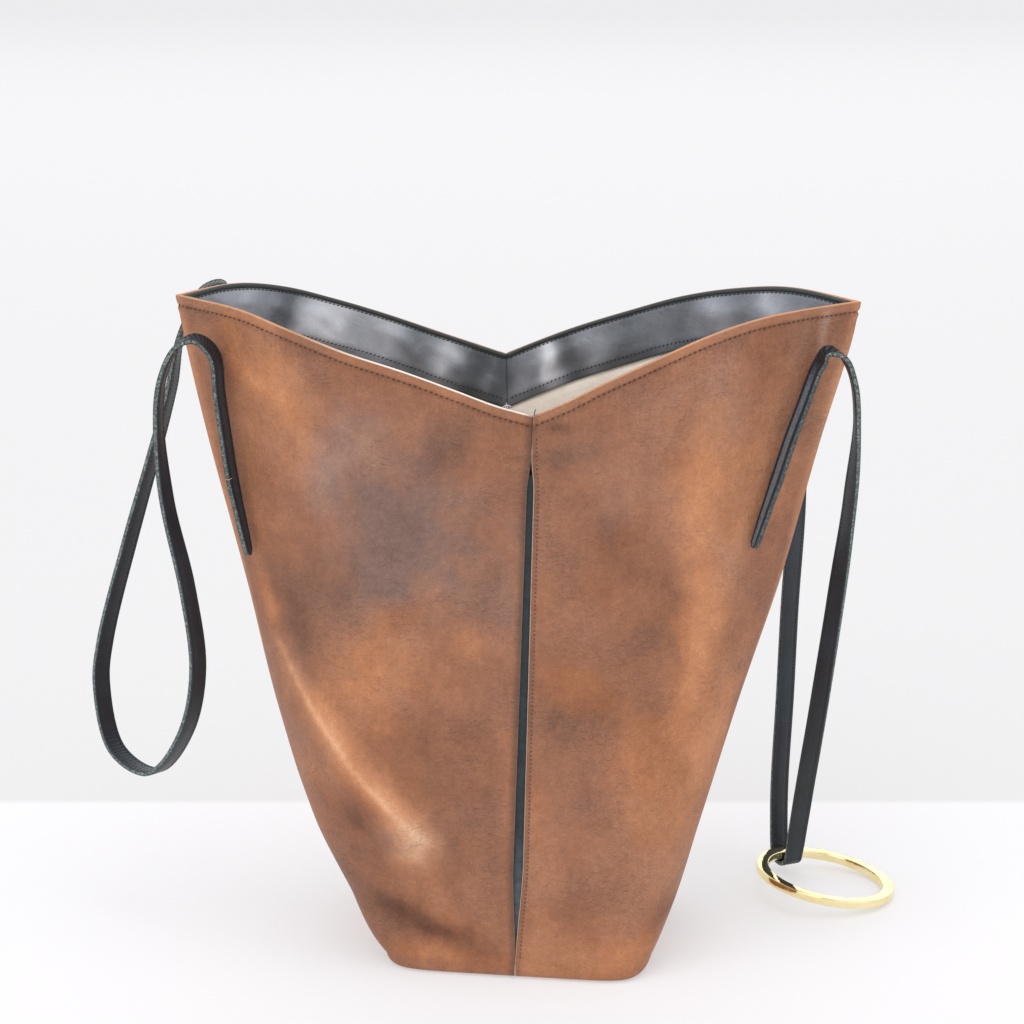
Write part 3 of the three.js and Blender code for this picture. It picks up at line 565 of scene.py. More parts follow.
def build_panel(side):
    groups = panel_columns(PANEL_COLUMNS, side)
    fold = PANEL_COLUMNS[0]
    rims = rims_of(groups)
    count = len(rims)
    starts = rims - RIM_DOWNS[-1]
    shares = np.linspace(0, 1, PANEL_ROWS + 1)[1:] ** 0.97
    heights = [rims - down for down in RIM_DOWNS]
    heights += [starts + (PANEL_ROUNDING - starts) * share for share in shares]

    def points_at(z):
        return rows_at(groups, z, seam_gap, True, small_relief)

    along_rim = travel(points_at(rims))
    outer, inner, downs = [], [], []
    for z in heights:
        row = points_at(z)
        out = plan_outward(row, side)
        down = rims - z
        pucker = 0.1 * ripple(along_rim, down * 0.25, 5 + side, 9, 4, 12) * hump(down, 9.5, 5.0)
        stood = row.copy()
        stood[:, :2] += out * (rim_bulge(down) + pucker)[:, None]
        outer.append(stood)
        inner.append(moved_in(row, out, LEATHER, [fold]))
        downs.append(down)
    roll = rim_roll(outer[0], inner[0], RIM_DOWNS[0])
    roll_downs = [np.full(count, RIM_DOWNS[0] * (1 - math.sin(a))) for a in ROLL_ANGLES]
    base = points_at(np.full(count, PANEL_ROUNDING))
    out = plan_outward(base, side)
    for angle in np.radians((12, 24, 36, 48, 60, 72, 82, 90)):
        for grid, inset in ((outer, 0.0), (inner, LEATHER)):
            round_bottom(grid, base, out, PANEL_ROUNDING, inset, angle, [fold])
        downs.append(rims)

    rows = np.array(outer[::-1] + roll + inner)
    total = len(rows)
    points = rows.reshape(-1, 3)
    in_grid = len(points)
    faces = grid_faces(total, count) + end_faces(count, len(outer), len(roll))
    pairs = [(k, count - 1 - k) for k in range(count // 2 + 1)]
    points, outside_lines = fill_flat(points, faces, rows[0], 0, pairs)
    points, inside_lines = fill_flat(points, faces, rows[-1], (total - 1) * count, pairs)
    # the edge of the bottom along the middle seam
    low, high = outside_lines[0], inside_lines[0]
    faces += [[low[i], low[i + 1], high[i + 1], high[i]] for i in range(FLAT_STEPS)]

    def over_all(values, bottom):
        """A value for each point of the grid and one for all points within the bottom."""
        return np.concatenate([np.ravel(values), np.full(len(points) - in_grid, bottom)])

    ways = np.array([travel(row) for row in rows])
    tone_light_and_shade, grey = panel_tone_light_and_shade(points)
    made = mesh_object(
        ("left" if side < 0 else "right") + "_leather", points, faces,
        {
            "down": over_all(downs[::-1] + roll_downs + downs, 300.0),
            "seam": over_all(np.minimum(ways, ways[:, -1:] - ways), 200.0),
            "fold": over_all(np.abs(ways - ways[:, fold:fold + 1]), 200.0),
            "inside": over_all(np.repeat(np.arange(total) >= len(outer) + len(roll), count), 0.0),
            "edge": over_all(np.tile(np.isin(np.arange(count), (0, count - 1)), total), 0.0),
            "left": np.full(len(points), 1.0 if side < 0 else 0.0),
            "tone_light_and_shade": tone_light_and_shade, "grey": grey, "crest": crest_pull_up_and_highlight(points),
        },
    )
    face_out(made)
    return made, outer


# Lighter and darker clouds on the outside: the oiled leather's own colour, with painted highlights on ridges,
# the knob and the side edges and painted shade in hollows: x and z of the middle, half length, half width,
# slant in degrees, tone from -1 dark to 1 light, greyness. x is a share of half the top width, the other lengths of the
# height.
FRONT_CLOUDS = (
    (-0.77, 0.895, 0.023, 0.017, -40, 0.55, -0.3), (-0.62, 0.964, 0.037, 0.026, 20, -0.45, 0.1),
    (-0.84, 0.957, 0.057, 0.014, -80, 0.1, -0.2), (-0.55, 0.773, 0.072, 0.038, 70, 0.1, 0.55),
    (-0.33, 0.713, 0.11, 0.08, -30, -0.4, 0.8), (-0.23, 0.818, 0.05, 0.035, 60, -0.5, 0.3),
    (-0.45, 0.848, 0.049, 0.029, 20, -0.15, 0.5), (-0.39, 0.629, 0.09, 0.055, 10, -0.35, 0.6),
    (-0.66, 0.522, 0.085, 0.035, -78, -0.7, 0.1), (-0.43, 0.467, 0.059, 0.059, 0, 0.6, -0.3),
    (-0.06, 0.59, 0.102, 0.044, 85, -0.2, 0.3), (-0.11, 0.373, 0.074, 0.059, 60, -0.2, 0.0),
    (-0.74, 0.55, 0.073, 0.012, -75, 0.7, -0.3), (-0.49, 0.251, 0.05, 0.03, -35, -0.75, -0.1),
    (-0.38, 0.278, 0.044, 0.021, -40, 0.35, 0.0), (-0.31, 0.205, 0.045, 0.035, -35, 1.2, 0.1),
    (-0.2, 0.185, 0.06, 0.02, -80, -0.6, 0.1), (-0.29, 0.083, 0.09, 0.022, -22, -1.15, -0.1),
    (-0.56, 0.278, 0.044, 0.024, -60, 0.3, -0.4), (-0.23, 0.034, 0.09, 0.012, -4, 0.3, -0.4),
    (-0.14, 0.529, 0.035, 0.026, 40, 0.35, -0.2), (-0.35, 0.56, 0.038, 0.02, 20, -0.1, -0.3),
    (0.16, 0.811, 0.058, 0.023, 12, -0.35, 0.2), (0.29, 0.743, 0.058, 0.043, 60, -0.1, 0.35),
    (0.62, 0.893, 0.1, 0.037, 78, 0.1, 0.2), (0.52, 0.674, 0.19, 0.03, 89, 0.7, -0.2),
    (0.35, 0.649, 0.09, 0.06, 0, -0.5, 0.0), (0.5, 0.587, 0.06, 0.035, 70, -0.3, 0.1),
    (0.39, 0.529, 0.07, 0.045, 60, -0.25, 0.0), (0.18, 0.454, 0.05, 0.03, -30, 0.15, -0.5),
    (0.22, 0.27, 0.07, 0.045, 70, -0.1, 0.1), (0.12, 0.652, 0.131, 0.023, 88, -0.15, 0.0),
    (0.43, 0.341, 0.088, 0.074, 40, 0.35, -0.3), (0.43, 0.091, 0.035, 0.022, 30, -0.8, 0.0),
    (0.33, 0.045, 0.051, 0.021, 30, 0.3, -0.4), (0.15, 0.118, 0.045, 0.045, 0, -0.25, 0.0),
    (0.64, 0.652, 0.131, 0.02, 72, 0.4, 0.0), (0.8, 0.94, 0.057, 0.02, 80, 0.25, 0.2),
    (0.89, 0.962, 0.045, 0.008, 84, 0.75, 0.6), (0.11, 0.848, 0.029, 0.009, 0, -0.7, 0.1),
    (0.39, 0.96, 0.086, 0.014, 24, -0.2, 0.2), (0.54, 0.5, 0.12, 0.032, 84, 0.6, -0.35),
    (0.57, 0.35, 0.13, 0.022, 68, 0.55, -0.3), (-0.58, 0.4, 0.09, 0.025, -62, 0.45, -0.1),
    (0.66, 0.78, 0.12, 0.09, 75, 0.25, 0.0), (-0.67, 0.85, 0.08, 0.035, -72, 0.45, -0.2),
    (0.2, 0.4, 0.1, 0.05, 60, -0.35, 0.05), (-0.42, 0.93, 0.09, 0.04, -25, -0.25, 0.0),
)
BACK_CLOUDS = (
    (-0.45, 0.7, 0.12, 0.07, 20, -0.4, 0.5), (0.4, 0.6, 0.14, 0.06, -40, 0.45, -0.2),
    (0.55, 0.82, 0.09, 0.05, 30, -0.35, 0.3), (-0.3, 0.35, 0.11, 0.06, 50, 0.5, -0.3),
    (0.15, 0.18, 0.08, 0.05, -20, -0.6, 0.1), (-0.15, 0.55, 0.09, 0.05, 70, -0.3, 0.1),
    (-0.7, 0.88, 0.07, 0.04, -50, 0.35, 0.0),
)
# Crest of the long fold on the front, x as a share of half the top width and z of the height
CREST = np.array([
    (-0.730, 0.507), (-0.701, 0.481), (-0.668, 0.448), (-0.619, 0.409), (-0.562, 0.370),
    (-0.504, 0.334), (-0.452, 0.304), (-0.403, 0.278), (-0.335, 0.245), (-0.275, 0.218),
])


def crest_distance(x, z):
    """Distance to the crest, signed by the side, and the share of the way along it."""
    line = CREST * np.array([TOP_WIDTH / 2, BAG_HEIGHT])
    best = np.full(np.broadcast(x, z).shape, 1e9)
    best = np.full(np.broadcast(x, z).shape, 1e9)
    place = np.zeros(best.shape)
    for index, ((ax, az), (bx, bz)) in enumerate(zip(line[:-1], line[1:])):
        across, up = bx - ax, bz - az
        share = np.clip(((x - ax) * across + (z - az) * up) / (across ** 2 + up ** 2), 0, 1)
        dx, dz = x - ax - share * across, z - az - share * up
        side = np.sign(across * dz - up * dx)
        away = np.hypot(dx, dz)
        closer = away < np.abs(best)
        best = np.where(closer, away * np.where(side == 0, 1, side), best)
        place = np.where(closer, (index + share) / (len(line) - 1), place)
    return best, place


# A lighter line along the crest: the pull-up leather's own lightening where it is stretched, with a painted highlight
# in the wider band round it.
def crest_pull_up_and_highlight(points):
    x, y, z = points.T
    away, place = crest_distance(x, z)
    strength = smooth_step(0, 0.12, place) * (1 - 0.35 * smooth_step(0.75, 1, place))
    line = 0.5 * hump(away, 0, 2.1) + (0.35 + 0.45 * place) * hump(away, 2, 9.0)
    return line * strength * (y < 10)


def panel_tone_light_and_shade(points):
    x, y, z = points.T
    tone_light_and_shade = np.zeros(len(points))
    grey = np.full(len(points), 0.3)
    waver = [0.22 * ripple(x, z, seed, 40, 14, 6) for seed in (301, 302)]
    on_front, on_back = 1 - smooth_step(-5, 25, y), smooth_step(-10, 20, y)
    for clouds, here in ((FRONT_CLOUDS, on_front), (BACK_CLOUDS, on_back)):
        for cx, cz, half_length, half_width, slant, amount, greyness in clouds:
            a = math.radians(slant)
            dx, dz = x - cx * TOP_WIDTH / 2, z - cz * BAG_HEIGHT
            u = (dx * math.cos(a) + dz * math.sin(a)) / (half_length * BAG_HEIGHT) + waver[0]
            v = (-dx * math.sin(a) + dz * math.cos(a)) / (half_width * BAG_HEIGHT) + waver[1]
            near = np.exp(-(u ** 2) - v ** 2) * here
            # The clouds add the leather's own colour together with painted highlights and painted shade.
            tone_light_and_shade += amount * near
            grey += greyness * near
    return tone_light_and_shade, grey


# Facing: a band inside the rim with a rolled upper edge
FACING_DROPS = np.concatenate([
    [0.8, 1.4, 2.0, 2.8, 3.4, 4.0, 4.8, 6.0, 8.0], np.linspace(10, FACING_HEIGHT, FACING_ROWS),
])
# Painted highlights and painted shade of the facing's puckers on the back wall: x, half width, tone
FACING_ZONES = (
    (-0.86, 0.05, 0.4), (-0.73, 0.04, -0.8), (-0.59, 0.09, 0.85), (-0.40, 0.07, 0.5), (-0.30, 0.03, -0.3),
    (-0.20, 0.04, 0.6), (-0.11, 0.05, -0.9), (-0.02, 0.03, -0.6), (0.075, 0.03, 1.3), (0.14, 0.04, -0.6),
    (0.22, 0.04, 0.1), (0.34, 0.07, -0.4), (0.50, 0.05, -0.3), (0.62, 0.03, 0.4), (0.70, 0.03, -0.2), (0.78, 0.03, 0.5),
)
ZONE_HEIGHT = 350.0  # where the zones stand at the x of the table
ZONE_LEAN = 0.25


def facing_top(name, across):
    """The back edge stands just above the leather rim, the front edge hides behind it."""
    middle = 0.35 if CORNERS[name][1] > 0 else -1.0
    return rim_height(name, across) + middle + (-0.4 - middle) * smooth_step(0.85, 1, across)


def build_facing(side):
    groups = panel_columns(FACING_COLUMNS, side)
    fold = FACING_COLUMNS[0]
    tops = np.concatenate([facing_top(name, across) for name, across in groups])
    along = travel(rows_at(groups, rims_of(groups), GAP / 2))
    ends = smooth_step(0, 12, np.minimum(along, along[-1] - along) + 2)
    outer, inner = [], []
    for drop in FACING_DROPS:
        share = drop / FACING_HEIGHT
        row = rows_at(groups, tops - drop, GAP / 2)
        out = plan_outward(row, side)
        inset = FACING_TOP_INSET + (FACING_LOW_INSET - FACING_TOP_INSET) * share
        puff = 0.8 * hump(drop, 1.4, 1.3) - 0.35 * hump(drop, 3.6, 0.7) - 0.3 * hump(drop, FACING_HEIGHT - 4.4, 1.3)
        fade = smooth_step(0.1, 0.4, share) * (1 - 0.75 * smooth_step(0.75, 1, share))
        sway = ripple(along, tops - drop - row[:, 2] * 0.2, 71 + side, 75, 32, 7) + 0.5
        sway += 0.35 * ripple(along, drop * 0.9, 81 + side, 22, 11, 9)
        sway = np.maximum(2.2 * fade * sway, 0) * ends
        outer.append(moved_in(row, out, inset, [fold]))
        inner.append(moved_in(row, out, inset + FACING_THICKNESS + puff + sway, [fold]))
    roll = rim_roll(outer[0], inner[0], FACING_DROPS[0])
    rows = outer[::-1] + roll + inner
    count = len(rows[0])
    points = np.array(rows).reshape(-1, 3)
    faces = grid_faces(len(rows), count, closed_rows=True) + end_faces(count, len(outer), len(roll))
    downs = np.concatenate([FACING_DROPS[::-1], np.zeros(len(roll)), FACING_DROPS])
    made = mesh_object(
        "facing_" + ("left" if side < 0 else "right") + "_leather", points, faces,
        {
            "down": np.repeat(downs, count), "tone_light_and_shade": facing_highlights_and_shade(points),
            "hidden": np.repeat(np.arange(len(rows)) < len(outer), count),
        },
    )
    face_out(made)
    return made, inner


def facing_highlights_and_shade(points):
    x, _, z = points.T
    tone_light_and_shade = np.zeros(len(points))
    waver = 0.4 * ripple(x, z, 401, 40, 14, 6)
    for cx, half_width, amount in FACING_ZONES:
        lean = (z - ZONE_HEIGHT) * ZONE_LEAN * math.copysign(1, cx)
        u = (x + lean - cx * TOP_WIDTH / 2) / (half_width * TOP_WIDTH / 2) + waver
        # Painted highlights and painted shade of the puckers.
        tone_light_and_shade += amount * np.exp(-(u ** 2))
    return tone_light_and_shade


# Lining
DEEPEST_FOLD = FOLD_DEPTH * 0.85
LINING_THICKNESS = 1.0
TUCKED_THICKNESS = 0.6
LINING_TUCK = ((4.0, 0.9), (2.0, 1.05), (0.5, 1.2))  # rise above the facing's foot, distance behind the leather


def build_lining():
    share = np.linspace(0, 1, LINING_COLUMNS + 1)[:-1]
    back_to_seam = 1 - share
    groups = [
        ("front_left", back_to_seam), ("front_right", share), ("back_right", back_to_seam), ("back_left", share),
    ]
    folds = [0, 2 * LINING_COLUMNS]
    tops = rims_of(groups) - FACING_HEIGHT - FACING_RIM_DROP
    starts = tops - LINING_DROP
    heights = [tops + rise for rise, _ in LINING_TUCK]
    heights += [starts + (EDGE_RADIUS - starts) * s for s in np.linspace(0, 1, LINING_ROWS)]
    outer, inner = [], []
    for index, z in enumerate(heights):
        row = rows_at(groups, z, 0.0, False)
        out = plan_outward(row, 1, closed=True)
        if index < len(LINING_TUCK):
            inset, thick = LEATHER + LINING_TUCK[index][1], TUCKED_THICKNESS
        else:
            inset, thick = FACING_LOW_INSET + DEEPEST_FOLD * fold_share(z), LINING_THICKNESS
        depth = np.clip((tops - z) / 30, 0, 1)
        sway = ripple(row[:, 0] + row[:, 1], z * 0.35, 91, 60, 18, 12)
        inset = inset + np.maximum(sway + 0.5, 0) * 3.0 * depth
        outer.append(moved_in(row, out, inset, folds))
        inner.append(moved_in(row, out, inset + thick, folds))
    base = rows_at(groups, np.full(len(tops), EDGE_RADIUS), 0.0, False)
    out = plan_outward(base, 1, closed=True)
    for angle in np.radians((25, 50, 70, 90)):
        for grid, more in ((outer, 0.0), (inner, LINING_THICKNESS)):
            inset = FACING_LOW_INSET + DEEPEST_FOLD * math.cos(angle) + more
            round_bottom(grid, base, out, EDGE_RADIUS, inset, angle, folds)
    rows = np.array(outer[::-1] + inner)
    count = rows.shape[1]
    points = rows.reshape(-1, 3)
    faces = grid_faces(len(rows), count, closed_columns=True)
    pairs = [(k, (count - k) % count) for k in range(count // 2 + 1)]
    for index in (0, len(rows) - 1):
        points, _ = fill_flat(points, faces, rows[index], index * count, pairs)
    # Painted shade: these tucked rows are coloured dark in the material.
    tucked = np.zeros(len(points))
    tucked[(len(outer) - 4) * count:(len(outer) + 2) * count] = 1
    made = mesh_object("lining_cloth", points, faces, {"tucked": tucked})
    face_out(made)
    return made


def build_strip():
    top = float(rim_height("front_left", 0.0)) - FACING_HEIGHT - FACING_RIM_DROP - LINING_DROP
    rows = []
    for z in np.linspace(top, EDGE_RADIUS + LEATHER, STRIP_ROWS):
        row = []
        for name in ("front_left", "front_right"):
            total = np.interp(z, LINE_HEIGHTS, LINES[name][2])
            shares = np.linspace(STRIP_WIDTH / 2 / total, 0, 5)
            if name == "front_right":
                shares = shares[::-1][1:]
            row.append(wall(name, shares, np.full(len(shares), z), 0.0, True, small_relief))
        row = np.concatenate(row)
        line = unit(row[-1, :2] - row[0, :2])
        out = np.array([line[1], -line[0], 0.0])
        front = row - out * (LEATHER + STRIP_CLEARANCE)
        rows.append(np.concatenate([front, (front - out * STRIP_THICKNESS)[::-1]]))
    faces = tube_faces(len(rows), len(rows[0]))
    made = mesh_object("seam_strip_leather", np.array(rows).reshape(-1, 3), faces, smooth=False)
    face_out(made)
    return made


# Straps
def wall_normal(name, across, z):
    here = wall(name, across, z)
    beside = wall(name, across - 0.01, z) - here
    above = wall(name, across, z + 0.01 * BAG_HEIGHT) - here
    normal = unit(np.cross(beside, above))
    return -normal if normal[1] * CORNERS[name][1] < 0 else normal


def anchor_rows(key):
    name, low_across, high_across, low_height, high_height, turn = ANCHORS[key]
    rows = []
    for step in range(6):
        share = step / 5
        across = low_across + (high_across - low_across) * share
        z = BAG_HEIGHT * (low_height + (high_height - low_height) * share)
        width = ANCHOR_END_WIDTH + (STRAP_WIDTH - ANCHOR_END_WIDTH) * min(share * 2.5, 1)
        normal = wall_normal(name, np.array(across), np.array(z))
        direction = unit(normal[:2])
        radians = math.radians(turn)
        facing = abs(direction[0] * math.cos(radians) + direction[1] * math.sin(radians))
        reach = (width * facing + STRAP_THICKNESS * math.sqrt(1 - facing ** 2)) / 2 + GAP + ANCHOR_CLEARANCE
        rows.append((wall(name, np.array(across), np.array(z)) + normal * reach, turn, width))
    return rows


def loop_rows(table):
    return [
        (np.array([x * TOP_WIDTH / 2, TOP_SETBACK + y * OPENING_DEPTH / 2, z * BAG_HEIGHT]), turn, STRAP_WIDTH)
        for x, y, z, turn in table
    ]


def spline(points, share):
    """Point at a share of a centripetal curve through the points."""
    points = np.asarray(points)
    last = len(points) - 1
    place = min(max(share, 0), 1) * last
    index = min(int(math.floor(place)), last - 1)
    weight = place - index
    p1, p2 = points[index], points[index + 1]
    p0 = points[index - 1] if index > 0 else 2 * points[0] - points[1]
    p3 = points[index + 2] if index + 2 <= last else 2 * points[last] - points[last - 1]
    d0, d1, d2 = (math.sqrt(np.linalg.norm(b - a)) for a, b in ((p0, p1), (p1, p2), (p2, p3)))
    t1 = ((p1 - p0) / d0 - (p2 - p0) / (d0 + d1) + (p2 - p1) / d1) * d1
    t2 = ((p2 - p1) / d1 - (p3 - p1) / (d1 + d2) + (p3 - p2) / d2) * d1
    return (
        p1 + t1 * weight + (3 * (p2 - p1) - 2 * t1 - t2) * weight ** 2 + (2 * (p1 - p2) + t1 + t2) * weight ** 3
    )


def band_frames(rows):
    points = [row[0] for row in rows]
    last = len(rows) - 1
    places = np.linspace(0, last, last * SPAN_STEPS + 1)
    centres = np.array([spline(points, p / last) for p in places])
    tangents = unit(np.gradient(centres, axis=0))
    frames = []
    for place, centre, tangent in zip(places, centres, tangents):
        index = min(int(place), last - 1)
        part = float(smooth_step(0, 1, place - index))
        turn = math.radians(rows[index][1] + (rows[index + 1][1] - rows[index][1]) * part)
        width = rows[index][2] + (rows[index + 1][2] - rows[index][2]) * part
        across = np.array([math.cos(turn), math.sin(turn), 0.0])
        across = unit(across - tangent * across.dot(tangent))
        frames.append((centre, tangent, across, np.cross(tangent, across), width))
    return frames


BAND_SHAPE = (  # side share, depth share, edge
    (0.90, -0.5, 0.0), (0.97, -0.42, 0.5), (1.0, -0.2, 1.0), (0.985, 0.0, 1.0), (1.0, 0.2, 1.0), (0.97, 0.42, 0.5),
    (0.90, 0.5, 0.0), (0.76, 0.485, 0.0), (0.62, 0.44, 0.0), (0.5, 0.49, 0.0), (0.2, 0.5, 0.0), (-0.2, 0.5, 0.0),
    (-0.5, 0.49, 0.0), (-0.62, 0.44, 0.0), (-0.76, 0.485, 0.0),
    (-0.90, 0.5, 0.0), (-0.97, 0.42, 0.5), (-1.0, 0.2, 1.0), (-0.985, 0.0, 1.0), (-1.0, -0.2, 1.0), (-0.97, -0.42, 0.5),
    (-0.90, -0.5, 0.0), (-0.76, -0.485, 0.0), (-0.62, -0.44, 0.0), (-0.5, -0.49, 0.0), (-0.2, -0.5, 0.0),
    (0.2, -0.5, 0.0), (0.5, -0.49, 0.0), (0.62, -0.44, 0.0), (0.76, -0.485, 0.0),
)


def build_band(name, rows, highlight_stripe, anchor_span=5):
    frames = band_frames(rows)
    centres = np.array([f[0] for f in frames])
    length = travel(centres)
    total = length[-1]
    tangents = np.array([f[1] for f in frames])
    curl = np.linalg.norm(np.gradient(tangents, axis=0), axis=1) / np.gradient(length)
    curl = np.clip(np.convolve(curl, np.ones(7) / 7, "same") * 18 - 0.35, 0, 1)
    anchor = anchor_span * SPAN_STEPS
    points, edges, alongs, sides, bends, sewns = [], [], [], [], [], []
    for ring, ((centre, tangent, across, through, width), s) in enumerate(zip(frames, length)):
        from_end = min(ring, len(frames) - 1 - ring)
        sewn = 1 - float(smooth_step(anchor * 0.85, anchor * 1.05, from_end))
        to_end = min(s, total - s)
        tip = math.sqrt(max(0.0, 1 - (1 - min(to_end / (width / 2), 1)) ** 2)) * 0.75 + 0.25
        for side, depth, edge in BAND_SHAPE:
            points.append(centre + across * side * width / 2 * tip + through * depth * STRAP_THICKNESS)
            edges.append(edge)
            alongs.append(s)
            sides.append(side)
            bends.append(curl[ring])
            # The scaled sewn share sets the painted highlight stripe and the dark edge paint of the anchors.
            sewns.append(sewn * highlight_stripe)
    made = mesh_object(
        name, np.array(points), tube_faces(len(frames), len(BAND_SHAPE)),
        {"edge": edges, "along": alongs, "across": sides, "bend": bends, "sewn": sewns},
    )
    face_out(made)
    return made, frames


# Ring
def ring_placing():
    axis = np.array([-math.sin(RING_LIFT_ANGLE), math.cos(RING_LIFT_ANGLE), 0.0])
    c, s = math.cos(-RING_TILT), math.sin(-RING_TILT)
    k = np.array([[0, -axis[2], axis[1]], [axis[2], 0, -axis[0]], [-axis[1], axis[0], 0]])
    rotation = np.eye(3) + s * k + (1 - c) * (k @ k)
    points = ring_points(96)
    lowest = (points.reshape(-1, 3) @ rotation.T)[:, 2].min()
    return rotation, np.array([RING_X, RING_Y, -lowest])


def ring_points(segments):
    radius = (RING_DIAMETER - RING_BAND_WIDTH) / 2
    w, h = RING_BAND_WIDTH / 2, RING_BAND_HEIGHT / 2
    outline = []
    for right, up, first in ((1, 1, 0), (-1, 1, 90), (-1, -1, 180), (1, -1, 270)):
        for step in range(5):
            a = math.radians(first + step * 22.5)
            outline.append((
                right * (w - RING_ROUNDING) + RING_ROUNDING * math.cos(a),
                up * (h - RING_ROUNDING) + RING_ROUNDING * math.sin(a),
            ))
    rings = []
    for segment in range(segments):
        a = segment / segments * 2 * math.pi
        rings.append([((radius + o) * math.cos(a), (radius + o) * math.sin(a), u) for o, u in outline])
    return np.array(rings)


def build_ring():
    rotation, centre = ring_placing()
    points = ring_points(RING_SEGMENTS)
    shape = points.shape
    moved = points.reshape(-1, 3) @ rotation.T + centre
    made = mesh_object("ring_metal", moved, grid_faces(shape[0], shape[1], closed_columns=True, closed_rows=True))
    face_out(made)
    return made


def bend_rows():
    rotation, centre = ring_placing()
    hold = math.radians(RING_HOLD_ANGLE)
    outward = np.array([math.cos(hold), math.sin(hold), 0.0])
    middle = rotation @ (outward * (RING_DIAMETER - RING_BAND_WIDTH) / 2) + centre
    wide = RING_BAND_WIDTH / 2 + RING_CLEARANCE + STRAP_THICKNESS / 2
    deep = RING_BAND_HEIGHT / 2 + RING_CLEARANCE + STRAP_THICKNESS / 2
    rows = []
    for degrees in BEND_ANGLES:
        a = math.radians(degrees)
        point = middle - outward * wide * math.cos(a) - UP * deep * math.sin(a)
        rows.append((point, RING_HOLD_ANGLE + BEND_TURN, STRAP_WIDTH))
    return rows


# Stitches: share of the length, share of the radius, lift as a share of the radius
STITCH_PROFILE = (
    (-0.5, 0.25, -0.9), (-0.36, 0.8, -0.15), (0.0, 1.0, 0.35), (0.36, 0.8, -0.15), (0.5, 0.25, -0.9),
)


def stitch_mesh(name, runs, radius=0.33):
    """runs holds (points, normals, pitch, length, sink, slant) lines to sew along."""
    points, faces = [], []
    stitch_faces = tube_faces(len(STITCH_PROFILE), 6)
    for line, normals, pitch, length, sink, slant in runs:
        way = travel(line)
        places = np.arange(pitch * 0.7, way[-1] - pitch * 0.5, pitch)
        mids, ups = along_line(line, way, places), unit(along_line(normals, way, places))
        ahead = unit(along_line(line, way, places + 0.5) - along_line(line, way, places - 0.5))
        for mid, up, forward in zip(mids, ups, ahead):
            beside = unit(np.cross(up, forward))
            direction = unit(forward + beside * slant)
            beside = unit(np.cross(up, direction))
            first = len(points)
            for place, size, lift in STITCH_PROFILE:
                centre = mid + direction * place * length + up * (lift * radius - sink)
                for k in range(6):
                    a = k * math.pi / 3
                    points.append(centre + (beside * math.cos(a) + up * math.sin(a)) * radius * size)
            faces += [[first + k for k in face] for face in stitch_faces]
    made = mesh_object(name, np.array(points), faces)
    face_out(made)
    return made


def grid_run(rows, places, place, away, spacing=0.8):
    """Points and directions of a sewn line across a grid of rows at a place between them."""
    index = int(np.clip(np.searchsorted(places, place) - 1, 0, len(places) - 2))
    share = (place - places[index]) / (places[index + 1] - places[index])
    line = rows[index] * (1 - share) + rows[index + 1] * share
    down = unit(rows[index + 1] - rows[index])
    way = travel(line)
    at = np.arange(0.5, way[-1] - 0.5, spacing)
    even, below = along_line(line, way, at), along_line(down, way, at)
    ahead = np.gradient(even, axis=0)
    normals = unit(np.cross(ahead, below)) * away
    return even, normals


def slit_run(shift):
    z = np.linspace(float(rim_height("front_right", 0.0)) - 12.0, EDGE_RADIUS + 1, 300)
    total = np.interp(z, LINE_HEIGHTS, LINES["front_right"][2])
    across = shift / total
    row = wall("front_right", across, z, seam_gap("front_right", z), True, small_relief)
    beside = wall("front_right", across + 0.02, z, seam_gap("front_right", z), True, small_relief) - row
    normals = unit(np.cross(unit(beside), unit(np.gradient(row, axis=0))))
    normals *= np.sign(-normals[:, 1:2])
    return row, normals


def strap_run(frames, side, depth_sign, first=3, last=-3):
    lift = depth_sign * STRAP_THICKNESS * 0.46
    line = np.array([c + a * side * w / 2 + t * lift for c, _, a, t, w in frames[first:last]])
    normals = np.array([t * depth_sign for _, _, _, t, _ in frames[first:last]])
    return line, normals


# Materials
def material(name):
    made = bpy.data.materials.new(name)
    made.use_nodes = True
    tree = made.node_tree
    return made, tree, tree.nodes["Principled BSDF"]


def attribute(tree, name):
    made = tree.nodes.new("ShaderNodeAttribute")
    made.attribute_name = name
    return made.outputs["Fac"]


def place_of(tree, scale=(1, 1, 1), turn=(0, 0, 0)):
    coordinates = tree.nodes.new("ShaderNodeTexCoord")
    mapping = tree.nodes.new("ShaderNodeMapping")
    mapping.inputs["Scale"].default_value = scale
    mapping.inputs["Rotation"].default_value = turn
    tree.links.new(coordinates.outputs["Object"], mapping.inputs["Vector"])
    return mapping.outputs["Vector"]


def noise(tree, scale, detail=4.0, rough=0.55, stretch=(1, 1, 1), distortion=0.0, turn=(0, 0, 0)):
    made = tree.nodes.new("ShaderNodeTexNoise")
    made.inputs["Scale"].default_value = scale
    made.inputs["Detail"].default_value = detail
    made.inputs["Roughness"].default_value = rough
    made.inputs["Distortion"].default_value = distortion
    tree.links.new(place_of(tree, stretch, turn), made.inputs["Vector"])
    return made.outputs["Fac"]


def cells(tree, scale, feature="DISTANCE_TO_EDGE", stretch=(1, 1, 1)):
    made = tree.nodes.new("ShaderNodeTexVoronoi")
    made.feature = feature
    made.inputs["Scale"].default_value = scale
    tree.links.new(place_of(tree, stretch), made.inputs["Vector"])
    return made.outputs["Distance"]


def calc(tree, operation, a, b=None, c=None, clamp=False):
    made = tree.nodes.new("ShaderNodeMath")
    made.operation = operation
    made.use_clamp = clamp
    for socket, value in zip(made.inputs, (a, b, c)):
        if value is None:
            continue
        if isinstance(value, (int, float)):
            socket.default_value = value
        else:
            tree.links.new(value, socket)
    return made.outputs[0]


def times(tree, a, b):
    return calc(tree, "MULTIPLY", a, b)


